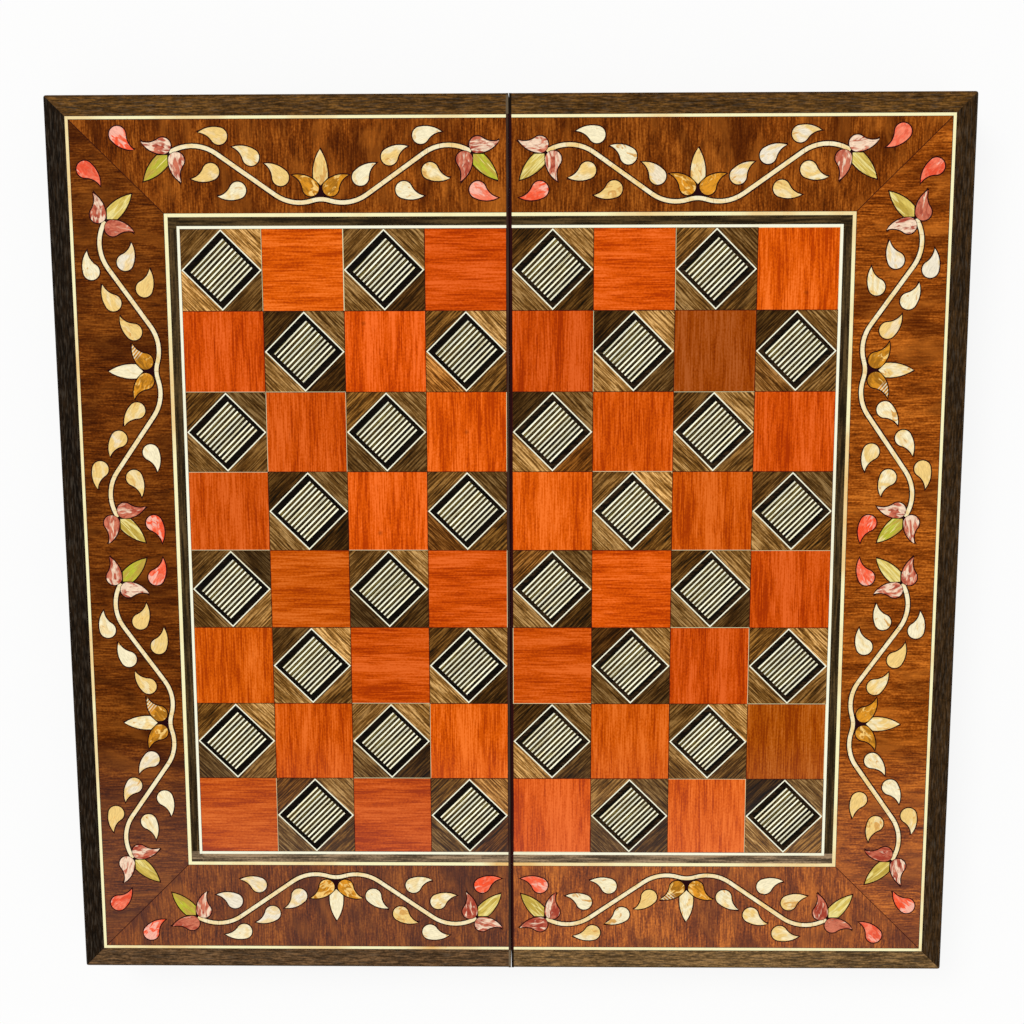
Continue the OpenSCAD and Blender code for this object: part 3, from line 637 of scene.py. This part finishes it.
def wall_finish(name, axis, base, spread, fleck, flecks, top=None, scuffs=0.3):
    """Walnut walls: grain along them and growth rings at their ends, short flecks, a share of pale
    scuffs, and dark lines at the arris and beside the stringing. The top may have another tone,
    which is worn and uneven."""
    c, s, f = colours(), sizes(), Finish(name)
    x, y, z = f.split(f.place())
    along, across = (y, x + z) if axis == 1 else (x, y + z)
    seed = sum(map(ord, name)) * NAME_SEED
    colour, height = wood(f, along, across, seed, shades(base), figure=(26, 3.5), fibre=(6, 0.8),
                          fleck=fleck, spread=spread, share=0.3, flecks=flecks, fleck_at=0.53)
    rubbed = f.noise(f.join(along / 7, across / 0.9, 3), detail=4)
    colour = f.mix(f.stretch(rubbed, 0.5, 0.75, 0, scuffs), colour, c.scuff)
    facing = f.split(f.node("ShaderNodeTexCoord").outputs["Normal"])[axis]
    colour = f.mix(abs(facing) > 0.9, colour, end_grain(f, x if axis == 1 else y, z, base))
    down = s.face * MM - z
    if top is not None:
        rub = f.noise(f.join(x / 1.5, y / 22), detail=4)
        worn = f.ramp(rub, (0.3, scaled(top, 0.3)), (0.5, top), (0.68, scaled(top, 1.3)))
        colour = f.mix(down < 0.2, colour, worn)
    inward = (s.half_x * MM - abs(x)).minimum(s.half_y * MM - abs(y))
    arris = inward.maximum(down) < 0.5
    colour = f.mix(arris * 0.6, colour, scaled(base, 0.3))
    past_x = abs(x) - edge("cream_stringing_right", 1, 0) * MM
    past_y = abs(y) - edge("cream_stringing_right", 1, 1) * MM
    joint = past_x.maximum(past_y).maximum(down) < s.joint * MM * 1.5
    colour = f.mix(joint * 0.8, colour, c.filler)
    return f.finish(colour, height, bump_mm=0.05, roughness=0.42)


def plywood_finish():
    """Plywood: thin plies of two tones, one over the other."""
    c, f = colours(), Finish("plywood")
    x, y, z = f.split(f.place())
    odd = (z / PLY).floor() % 2
    grain = f.noise(f.join(x / 3, y / 60, z), detail=3)
    colour = f.mix(odd * 0.5 + grain * 0.4, c.plywood, scaled(c.plywood, 0.55))
    return f.finish(colour, grain, roughness=0.7, specular=0.3)


def field_finish(name, tones, flecks, points=True):
    """The veneers of the backgammon field, grain along the points. Each point is a piece of its
    own, and each half's field is one sheet."""
    f = Finish(name)
    x, y, _ = f.split(f.place())
    first = edge("playing_field_right", 0, 0) * MM
    number = ((abs(x) - first) / (sizes().point_pitch * MM)).floor()
    own = (number, y.sign()) if points else (0, 0)
    chance, _ = f.random(f.join(*own, x.sign()))
    colour, height = wood(f, y, x, chance, tones, figure=(90, 6), flecks=flecks)
    return f.finish(colour, height, roughness=0.4)


# Shells. Each inlay has a map of its own, along and across it, and its own random tone.
def shell(f, size, detail=2, distortion=1.0, shift=0.0):
    """Cloudy noise on an inlay's own map, different for each inlay."""
    long, wide = size
    u, v, _ = f.split(f.along())
    return f.noise(f.join(u / long, v / wide, f.tone() * 53.0 + shift), detail=detail,
                   distortion=distortion)


def second(f):
    """Another random number of an inlay, from its tone."""
    return (f.tone() * 17.3).fract()


def shell_finish(name, base, deep, patch, cloud, marble, patch_at, lean=0.35, tip=None, line=0.5,
                 gather=0.0, vary=0.08, soft=0.08, other=None):
    """Polished shell: a base that deepens in clouds by the inlay's own lean, patches of a third
    tone over a level of the noise, which may gather at the blunt end, thin dark lines, and a pale
    banded tip on some inlays. One inlay in four takes the other base where one is given."""
    f = Finish(name)
    share = f.math("ADD", f.stretch(shell(f, cloud), 0.4, 0.62),
                   f.stretch(f.tone(), 0, 1, -lean, lean), clamp=True)
    if other is not None:
        base = f.mix(second(f) > 0.75, base, other)
    colour = f.mix(share, base, deep)
    marbled = shell(f, marble, shift=9.0)
    u, v, _ = f.split(f.along())
    begin = f.stretch(second(f), 0, 1, patch_at - vary, patch_at + vary) + u * gather
    colour = f.mix(f.stretch(marbled - begin, 0, soft), colour, patch)
    if tip is not None:
        waves = (u * 4.2 + v * 0.8).sine()
        reach = f.stretch(u, 2.5, 4.0, 0, 0.65) * f.stretch(waves, 0.0, 0.6)
        colour = f.mix(reach * (f.tone() > 0.8), colour, tip)
    thin = abs(shell(f, (5.0, 2.5), shift=30.0) - 0.5)
    colour = f.mix(f.stretch(thin, 0.0, 0.018, line, 0), colour, scaled(deep, 0.4))
    silk = f.stretch(shell(f, (2.5, 0.6), distortion=0.5, shift=21.0), 0.3, 0.7, 0.84, 1.14)
    return f.finish(f.times(colour, silk), marbled, bump_mm=0.01, roughness=0.22, specular=0.1)


def stem_finish():
    """Stems: cream wood in short lengths, with faint brown joints across them."""
    c, f = colours(), Finish("vine stems")
    u, _, _ = f.split(f.along())
    cloud = shell(f, (12, 6))
    fleck = f.cloud(0.9)
    colour = f.mix(f.stretch(cloud, 0.4, 0.75), c.leaf_pale, c.leaf_yellow)
    colour = f.mix(f.stretch(fleck, 0.56, 0.7, 0, 0.5), colour, c.leaf_shade)
    step = (u / 6.5 + f.tone()).fract()
    crack = (step < 0.045) * (second(f) > 0.4)
    colour = f.mix(crack * 0.5, colour, c.amber_dark)
    return f.finish(colour, fleck, bump_mm=0.01, roughness=0.3)


def filler_finish():
    """Dark filler with a trace of red."""
    c, f = colours(), Finish("filler")
    grain = f.cloud(3)
    return f.finish(f.mix(grain, c.filler, scaled(c.filler, 0.5)), grain, roughness=0.5)


def felt_finish():
    """Felt: short tangled fibres."""
    c, f = colours(), Finish("felt")
    fibre = f.cloud(4, detail=4, roughness=0.7, distortion=2)
    material = f.finish(f.mix(fibre, scaled(c.felt, 0.5), scaled(c.felt, 1.4)), fibre,
                        bump_mm=0.3, roughness=0.95, specular=0.1)
    f.shader.inputs["Sheen Weight"].default_value = 0.4
    return material


def brass_finish(name, base):
    """Brass: fine brushing, and tarnish in soft patches."""
    c, f = colours(), Finish(name)
    x, y, z = f.split(f.place())
    brush = f.noise(f.join(x * 4, y * 0.25, z * 4), detail=3)
    patch = f.cloud(0.2, detail=3)
    colour = f.mix(f.stretch(patch, 0.45, 0.75, 0, 0.6), base, c.brass_dark)
    rough = f.stretch(patch * 0.6 + brush * 0.4, 0.3, 0.7, 0.22, 0.42)
    return f.finish(colour, brush, bump_mm=0.01, roughness=rough, specular=0.5, metallic=1)


def dress(material, *nodes):
    """Gives CAD nodes their material."""
    for node in nodes:
        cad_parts[node].material_slots[0].material = material


def both(name):
    """The left node and the right node of that name."""
    return [f"{name}_{half}" for half in HALVES]


def body_of(node):
    """The half that carries the node, by the end of its name."""
    return f"{node.rsplit('_', 1)[1]}_half"


# Inlays: arrays of a node's own triangles, welded, with a map and a tone for each inlay
def merged(places, triangles, steps):
    """The mesh with points that share a step made one, with so many steps to the metre."""
    _, first, same = np.unique(np.round(places * steps).astype(np.int64), axis=0,
                               return_index=True, return_inverse=True)
    return places[first], same.reshape(-1)[triangles]


def welded(node):
    """Places and triangles of a node, with vertices that share a place to a micron made one."""
    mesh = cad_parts[node].data
    places = np.empty(len(mesh.vertices) * 3, np.float32)
    mesh.vertices.foreach_get("co", places)
    corners = np.empty(len(mesh.loops), np.int32)
    mesh.loops.foreach_get("vertex_index", corners)
    places, triangles = merged(places.reshape(-1, 3), corners.reshape(-1, 3), MICRONS)
    return places.astype(float), triangles


def islands(count, triangles):
    """Number of the inlay that each vertex belongs to: the lowest number spreads over each one."""
    label = np.arange(count)
    while True:
        lowest = label[triangles].min(axis=1)
        spread = label.copy()
        np.minimum.at(spread, triangles.ravel(), np.repeat(lowest, 3))
        if (spread == label).all():
            return np.unique(label, return_inverse=True)[1].reshape(-1)
        label = spread


def own_axes(places, label):
    """Middle, direction and cross direction of each inlay: the long axis of its spread of points,
    pointing to the point that lies farthest from its middle."""
    count = label.max() + 1
    number = np.bincount(label, minlength=count)
    middle = np.stack([np.bincount(label, places[:, k], count) / number for k in (0, 1)], 1)
    off = places[:, :2] - middle[label]
    xx, yy, xy = (np.bincount(label, off[:, a] * off[:, b], count) for a, b in ((0, 0), (1, 1), (0, 1)))
    angle = np.arctan2(2 * xy, xx - yy) / 2
    long = np.stack([np.cos(angle), np.sin(angle)], 1)
    far = np.lexsort((np.hypot(*off.T), label))
    last = far[np.searchsorted(label[far], np.arange(count), side="right") - 1]
    long *= np.where((off[last] * long).sum(1) < 0, -1, 1)[:, None]
    return middle, long, np.stack([-long[:, 1], long[:, 0]], 1)


def added(name, data):
    """A new object in the scene."""
    made = bpy.data.objects.new(name, data)
    bpy.context.scene.collection.objects.link(made)
    return made


def mesh_piece(name, places, triangles, material, body, slot):
    """A new piece from arrays, on its body, with its material; the slot argument is not used."""
    mesh = bpy.data.meshes.new(name)
    mesh.from_pydata(places.tolist(), [], triangles.tolist())
    mesh.materials.append(material)
    piece = added(name, mesh)
    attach(piece, body)
    return piece


def inlay(node, material, slot, seed):
    """The node's inlays, each with a map along and across it and a tone of its own."""
    places, triangles = welded(node)
    label = islands(len(places), triangles)
    middle, long, wide = own_axes(places, label)
    off = places[:, :2] - middle[label]
    grain = np.stack([(off * long[label]).sum(1), (off * wide[label]).sum(1)], 1)
    tone = np.random.default_rng(seed).random(label.max() + 1)
    piece = mesh_piece(f"{node}.inlay", places, triangles, material, body_of(node), slot)
    uv = piece.data.uv_layers.new(name="grain")
    uv.data.foreach_set("uv", grain[triangles.ravel()].astype(np.float32).ravel())
    attribute = piece.data.attributes.new("tone", "FLOAT", "POINT")
    attribute.data.foreach_set("value", tone[label].astype(np.float32))
    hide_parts(node)


def lowered(node, dip, material, slot):
    """The node with its top lowered by dip, so that the filler's edge shows round each inlay."""
    places, triangles = welded(node)
    places[:, 2] -= dip * (places[:, 2] > places[:, 2].mean())
    piece = mesh_piece(f"{node}.lowered", places, triangles, material, body_of(node), slot)
    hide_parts(node)


def grown(node, reach, dip):
    """The node's inlays, moved out by reach along their walls' normals and lowered by dip."""
    places, triangles = welded(node)
    sides = places[triangles]
    normal = np.cross(sides[:, 1] - sides[:, 0], sides[:, 2] - sides[:, 0])
    normal /= np.maximum(np.linalg.norm(normal, axis=1), 1e-30)[:, None]
    wall = np.abs(normal[:, 2]) < 0.5
    total, count = np.zeros((len(places), 2)), np.zeros(len(places))
    for corner in range(3):
        np.add.at(total, triangles[wall, corner], normal[wall, :2])
        np.add.at(count, triangles[wall, corner], 1)
    mean = total / np.maximum(count, 1)[:, None]
    share = np.maximum((mean ** 2).sum(1), 0.15)[:, None]
    places[:, :2] += reach * mean / share
    places[:, 2] -= dip * (places[:, 2] > places[:, 2].mean())
    return places, triangles


def disc(middle, radius, low, high, sides=24):
    """A low round pad: two rings of points and two middles, joined by triangles."""
    turn = np.arange(sides) * 2 * np.pi / sides
    ring = np.stack([np.cos(turn), np.sin(turn)], 1) * radius + middle
    level = np.repeat([low, high], sides)[:, None]
    places = np.vstack([np.hstack([np.vstack([ring, ring]), level]), [[*middle, low], [*middle, high]]])
    here = np.arange(sides)
    after = (here + 1) % sides
    bottom, top = np.full(sides, 2 * sides), np.full(sides, 2 * sides + 1)
    triangles = np.vstack([
        np.stack([here, after, after + sides], 1), np.stack([here, after + sides, here + sides], 1),
        np.stack([after, here, bottom], 1), np.stack([here + sides, after + sides, top], 1)])
    return places, triangles


def stem_ends(name, half):
    """For each inlay of a node, the one of its two ends that lies nearer to a vine stem."""
    places, triangles = welded(f"{name}_{half}")
    label = islands(len(places), triangles)
    middle, long, _ = own_axes(places, label)
    reach = ((places[:, :2] - middle[label]) * long[label]).sum(1)
    back, front = np.full(label.max() + 1, np.inf), np.full(label.max() + 1, -np.inf)
    np.minimum.at(back, label, reach)
    np.maximum.at(front, label, reach)
    ends = middle + long * np.stack([back, front])[:, :, None]
    stems = welded(f"vine_stems_{half}")[0][:, :2]
    away = np.linalg.norm(ends[:, :, None] - stems, axis=3).min(axis=2)
    return ends[away.argmin(axis=0), np.arange(len(middle))]


def stacked(parts):
    """Several sets of places and triangles as one."""
    starts = np.cumsum([0] + [len(places) for places, _ in parts[:-1]])
    return (np.vstack([places for places, _ in parts]),
            np.vstack([triangles + start for (_, triangles), start in zip(parts, starts)]))


def crown(away, ball):
    """How far a ball has dropped below its top at a distance away from the axis. Its radius is
    ball, and a flat head has an infinite one."""
    return away * away / (ball + np.sqrt(ball * ball - away * away))


def screw(middle, axis, turn, levels, ball, slot):
    """A screw of revolution whose head has a slot and faces down the axis. Rings of points stand
    side by side across the slot, at v = -radius cos(angle), and reach x = +-radius sin(angle).
    Each runs over the crowned head, or along the slot's floor, down one side through the levels,
    which are pairs of radius and depth, and up the other side."""
    wide, deep = slot
    radii, depths = np.array(levels).T
    begin = np.arccos(wide / 2 / radii[0])
    plain = np.linspace(0, begin, PLAIN_RINGS)
    angle = np.concatenate([plain, [begin, np.pi / 2, np.pi - begin], np.pi - plain[::-1]])[:, None]
    beside = np.zeros(PLAIN_RINGS)
    floor = np.concatenate([beside, [deep] * 3, beside])[:, None]
    rim = np.interp(floor, depths[:2], radii[:2])
    reach = np.linspace(-1, 1, HEAD_POINTS)[None, :]
    x, v = reach * rim * np.sin(angle), -rim * np.cos(angle) + 0 * reach
    down = np.maximum(crown(np.hypot(x, v), ball), floor)
    radius, lower = radii[1:] + 0 * angle, np.maximum(depths[1:], floor)
    side_x, side_v = radius * np.sin(angle), -radius * np.cos(angle)
    x = np.hstack([x, side_x, -side_x[:, ::-1]])
    v = np.hstack([v, side_v, side_v[:, ::-1]])
    down = np.hstack([down, lower, lower[:, ::-1]])
    outward, start = -np.eye(3)[axis], np.eye(3)[1]
    along = math.cos(turn) * start + math.sin(turn) * np.cross(outward, start)
    places = (middle + x[..., None] * along + v[..., None] * np.cross(outward, along)
              - down[..., None] * outward)
    rings, count = x.shape
    i, j = np.arange(rings - 1)[:, None] * count, np.arange(count)[None, :]
    here, after = i + j, i + (j + 1) % count
    triangles = np.stack([np.stack([here, after, after + count], -1),
                          np.stack([here, after + count, here + count], -1)]).reshape(-1, 3)
    places, triangles = merged(places.reshape(-1, 3), triangles, 100 * MICRONS)
    a, b, c = triangles.T
    triangles = triangles[(a != b) & (b != c) & (c != a)]
    a, b, c = places[triangles].transpose(1, 0, 2) - middle
    inside_out = np.einsum("ij,ij->", a, np.cross(b, c)) < 0
    return places, triangles[:, ::-1] if inside_out else triangles


def hinge_screw_levels(head, length):
    """Radius and depth down a countersunk screw: a flat head, a cone and a plain shank."""
    s = sizes()
    return (head, 0.0), (s.screw_shank, s.screw_cone), (s.screw_shank, length)


def pivot_levels(head, length):
    """Radius and depth down a latch pivot: a crowned head and a plain shank."""
    s = sizes()
    return ((head, crown(head, PIVOT_CROWN * head)), (head, s.pivot_head),
            (s.pivot_shank, s.pivot_head), (s.pivot_shank, length))


def screws(node, body, axis, levels, ball, material):
    """The node's screws made again with slots, each turned by chance. Their heads face down the
    axis, and a ball of that many head radii crowns them."""
    s = sizes()
    places, triangles = welded(node)
    label = islands(len(places), triangles)
    chance = np.random.default_rng(len(node))
    parts = []
    for number in range(label.max() + 1):
        low, high = places[label == number].min(0), places[label == number].max(0)
        head = (high[1] - low[1]) / 2
        middle = (low + high) / 2
        middle[axis] = low[axis]
        parts.append(screw(middle, axis, chance.uniform(0, math.pi),
                           levels(head, high[axis] - low[axis]), ball * head,
                           (s.screw_slot, s.slot_depth)))
    piece = mesh_piece(f"{node}.slotted", *stacked(parts), material, body, "brass")
    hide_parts(node)


class BOARD_OT_walls(bpy.types.Operator):
    """Finish the walnut walls"""

    bl_idname = "board.walls"
    bl_label = "Walls"
    bl_options = {"REGISTER", "UNDO"}

    def execute(self, context):
        c = colours()
        for side, base in (("left", c.wall_left), ("right", c.wall_right)):
            dress(wall_finish(f"{side} wall", 1, base, 0.12, (5, 0.8), 0.3), f"long_wall_{side}")
        # The near walls' colours hold a painted sheen besides their own tone
        for node, base in (("far_wall_left", c.wall_far), ("far_wall_right", c.wall_far),
                           ("near_wall_left", c.wall_near_left), ("near_wall_right", c.wall_near_right)):
            dress(wall_finish(node.replace("_", " "), 0, base, 0.11, (4, 0.7), 0.5), node)
        for side, top in (("left", c.lip), ("right", c.wall_left)):
            dress(wall_finish(f"{side} hinge wall", 1, c.wall_right, 0.12, (5, 0.8), 0.3, top=top),
                  f"hinge_wall_{side}")
        return {"FINISHED"}


class BOARD_OT_panel(bpy.types.Operator):
    """Finish the plywood panels"""

    bl_idname = "board.panel"
    bl_label = "Panels"
    bl_options = {"REGISTER", "UNDO"}

    def execute(self, context):
        dress(plywood_finish(), *both("panel_core"))
        return {"FINISHED"}


class BOARD_OT_border(bpy.types.Operator):
    """Finish the border veneer, the lines and the dark banding"""

    bl_idname = "board.border"
    bl_label = "Border"
    bl_options = {"REGISTER", "UNDO"}

    def execute(self, context):
        c = colours()
        mahogany = mahogany_finish()
        for node in both("border_veneer"):
            lowered(node, sizes().veneer_dip, mahogany, "mahogany")
        dress(line_finish("cream stringing", c.cream, c.cream_deep, 0.5), *both("cream_stringing"))
        dress(line_finish("white lines", c.bone, c.bone_deep, 0.6), *both("white_lines"))
        # The near banding's colour holds a painted sheen
        dress(banding_finish("dark banding", c.banding, c.banding_near_sheen), *both("dark_banding"))
        return {"FINISHED"}


class BOARD_OT_squares(bpy.types.Operator):
    """Finish the chess field's squares and diamonds"""

    bl_idname = "board.squares"
    bl_label = "Squares"
    bl_options = {"REGISTER", "UNDO"}

    def execute(self, context):
        c = colours()
        dress(orange_finish(), *both("orange_squares"))
        dress(corner_finish(), *both("walnut_corners"))
        dress(banding_finish("left diamond bands", c.band), "diamond_bands_left")
        dress(banding_finish("right diamond bands", c.band_brown), "diamond_bands_right")
        cream = (c.bone_deep, c.strip_light, c.bone)
        dress(strip_finish("light strips", cream, 0, c.olive_light, 0.66), *both("light_strips"))
        olive = (c.olive_dark, c.olive, c.olive_light)
        dress(strip_finish("dark strips", olive, 0.5, c.band, 0.58, 0.5), *both("dark_strips"))
        return {"FINISHED"}


class BOARD_OT_inlays(bpy.types.Operator):
    """Lay the shell inlays of the vines"""

    bl_idname = "board.inlays"
    bl_label = "Vine inlays"
    bl_options = {"REGISTER", "UNDO"}

    def execute(self, context):
        c = colours()
        finishes = (
            ("vine_stems", "cream_wood", stem_finish()),
            ("cream_leaves", "cream_shell", shell_finish(
                "cream leaves", c.leaf_pale, c.leaf_yellow, c.leaf_shade, (9, 6), (6, 4), 0.64,
                lean=0.8, line=0.25, other=c.leaf_white)),
            ("red_drops", "red_shell", shell_finish(
                "red drops", c.red, c.red_light, c.red_pale, (5, 4), (6, 2.4), 0.56, line=0.3,
                gather=0.02, vary=0.12, other=c.red_dark)),
            ("pink_petals", "pink_shell", shell_finish(
                "pink petals", c.pink, c.pink_dark, c.pink_light, (6, 3), (7, 2.2), 0.5,
                line=0.5, vary=0.13, soft=0.13)),
            ("green_leaves", "green_shell", shell_finish(
                "green leaves", c.green, c.green_dark, c.green_light, (14, 3), (18, 1.8), 0.53,
                line=0.15, vary=0.1, other=c.green_vivid)),
            ("amber_petals", "amber_shell", shell_finish(
                "amber petals", c.amber, c.amber_dark, c.amber_light, (6, 3), (5, 3), 0.56,
                tip=c.bone, line=0.4)),
            ("centre_petals", "cream_shell", shell_finish(
                "centre petals", c.leaf_pale, c.leaf_yellow, c.leaf_shade, (8, 5), (6, 3), 0.62,
                lean=0.6, line=0.15)),
        )
        for seed, (name, slot, material) in enumerate(finishes):
            for side, node in enumerate(both(name)):
                inlay(node, material, slot, 10 * seed + side)
        return {"FINISHED"}


class BOARD_OT_filler(bpy.types.Operator):
    """Fill the gaps round the inlays with dark filler"""

    bl_idname = "board.filler"
    bl_label = "Filler"
    bl_options = {"REGISTER", "UNDO"}

    def execute(self, context):
        s = sizes()
        material = filler_finish()
        top = s.face - s.veneer_dip - s.filler_dip
        for half in HALVES:
            parts = [grown(f"{name}_{half}", s.filler, s.filler_dip) for name in INLAYS]
            for name, radius in (("green_leaves", s.flower_bed), ("centre_petals", s.middle_bed)):
                parts += [disc(place, radius, s.bed, top) for place in stem_ends(name, half)]
            mesh_piece(f"filler_{half}", *stacked(parts), material, f"{half}_half", "black_wood")
        return {"FINISHED"}


class BOARD_OT_playing_field(bpy.types.Operator):
    """Finish the backgammon field inside"""

    bl_idname = "board.playing_field"
    bl_label = "Backgammon field"
    bl_options = {"REGISTER", "UNDO"}

    def execute(self, context):
        c = colours()
        dress(field_finish("playing field", (c.mahogany_dark, c.mahogany, c.mahogany_gold), 0.5,
                           points=False), *both("playing_field"))
        dress(field_finish("light points", (c.maple, c.cream, c.bone), 0.2), *both("light_points"))
        dress(field_finish("dark points", shades(c.walnut_dark), 0.5), *both("dark_points"))
        return {"FINISHED"}


class BOARD_OT_fittings(bpy.types.Operator):
    """Finish the brass fittings and the felt pads"""

    bl_idname = "board.fittings"
    bl_label = "Fittings"
    bl_options = {"REGISTER", "UNDO"}

    def execute(self, context):
        dress(felt_finish(), *both("felt_pads"))
        dress(brass_finish("brass", colours().brass), *both("hinge_leaves"), "hinge_pins",
              "latch_hook_far", "latch_hook_near", "latch_catches")
        return {"FINISHED"}


class BOARD_OT_screws(bpy.types.Operator):
    """Make the hinge screws and the latch pivots, with slots in their heads"""

    bl_idname = "board.screws"
    bl_label = "Screws"
    bl_options = {"REGISTER", "UNDO"}

    def execute(self, context):
        brass = brass_finish("brass screws", scaled(colours().brass, 0.8))
        for node in both("hinge_screws"):
            screws(node, body_of(node), 2, hinge_screw_levels, math.inf, brass)
        screws("latch_pivots", "left_half", 0, pivot_levels, PIVOT_CROWN, brass)
        return {"FINISHED"}


class BOARD_OT_stage(bpy.types.Operator):
    """Set up the floor, the light and the camera"""

    bl_idname = "board.stage"
    bl_label = "Stage"
    bl_options = {"REGISTER", "UNDO"}

    def execute(self, context):
        scene, s, light = context.scene, sizes(), context.scene.board_light
        scene.view_settings.view_transform = "Standard"
        half = s.floor / 2
        mesh = bpy.data.meshes.new("floor")
        mesh.from_pydata([(-half, -half, 0), (half, -half, 0), (half, half, 0), (-half, half, 0)],
                         [], [(0, 1, 2, 3)])
        floor = added("floor", mesh)
        mesh.materials.append(self.floor_finish(light.glow))
        self.light_sky(scene, light.sky)
        sun = bpy.data.lights.new("soft key", "SUN")
        sun.energy, sun.angle = light.sun, light.sun_softness
        added("soft key", sun).rotation_euler = light.sun_turn
        lens = bpy.data.cameras.new("camera")
        lens.lens = s.lens
        scene.camera = added("camera", lens)
        scene.camera.location = s.camera_place
        scene.camera.rotation_euler = s.camera_turn
        return {"FINISHED"}

    def floor_finish(self, glow):
        """Pale floor that is seen as white by that share, and that keeps the board's shadow."""
        f = Finish("floor")
        f.finish(tuple(colours().floor), roughness=0.8, specular=0.1)
        white = f.node("ShaderNodeEmission", (1, 1, 1), 1.0).outputs[0]
        mixed = f.node("ShaderNodeMixShader", f.seen() * glow, f.shader.outputs[0], white).outputs[0]
        f.put(f.tree.nodes["Material Output"].inputs["Surface"], mixed)
        return f.material

    def light_sky(self, scene, strength):
        """Even light from all round, seen as white."""
        scene.world = bpy.data.worlds.new("sky")
        scene.world.use_nodes = True
        sky = Nodes(scene.world.node_tree)
        inputs = sky.tree.nodes["Background"].inputs
        sky.put(inputs["Color"], (1, 1, 1))
        sky.put(inputs["Strength"], sky.stretch(sky.seen(), 0, 1, strength, 1.0))


OPERATORS = (BOARD_OT_walls, BOARD_OT_panel, BOARD_OT_border, BOARD_OT_squares, BOARD_OT_inlays,
             BOARD_OT_filler, BOARD_OT_playing_field, BOARD_OT_fittings, BOARD_OT_screws,
             BOARD_OT_stage)


class BOARD_PT_panel(bpy.types.Panel):
    """Lists the board's pieces, then the sizes, the light and the colours"""

    bl_idname = "BOARD_PT_panel"
    bl_label = "Folding Board"
    bl_space_type = "VIEW_3D"
    bl_region_type = "UI"
    bl_category = "Board"

    def draw(self, context):
        for operator in OPERATORS:
            self.layout.operator(operator.bl_idname)
        for group in (sizes(), context.scene.board_light, colours()):
            for name in group.bl_rna.properties.keys():
                if name not in ("rna_type", "name"):
                    self.layout.prop(group, name)


CLASSES = (BoardSizes, BoardLight, BoardColours, *OPERATORS, BOARD_PT_panel)


def register():
    for item in CLASSES:
        bpy.utils.register_class(item)
    bpy.types.Scene.board_sizes = bpy.props.PointerProperty(type=BoardSizes)
    bpy.types.Scene.board_light = bpy.props.PointerProperty(type=BoardLight)
    bpy.types.Scene.board_colours = bpy.props.PointerProperty(type=BoardColours)


def unregister():
    del bpy.types.Scene.board_sizes
    del bpy.types.Scene.board_light
    del bpy.types.Scene.board_colours
    for item in reversed(CLASSES):
        bpy.utils.unregister_class(item)


def main():
    register()
    bpy.ops.board.walls()
    bpy.ops.board.panel()
    bpy.ops.board.border()
    bpy.ops.board.squares()
    bpy.ops.board.inlays()
    bpy.ops.board.filler()
    bpy.ops.board.playing_field()
    bpy.ops.board.fittings()
    bpy.ops.board.screws()
    bpy.ops.board.stage()


if __name__ == "__main__":
    main()
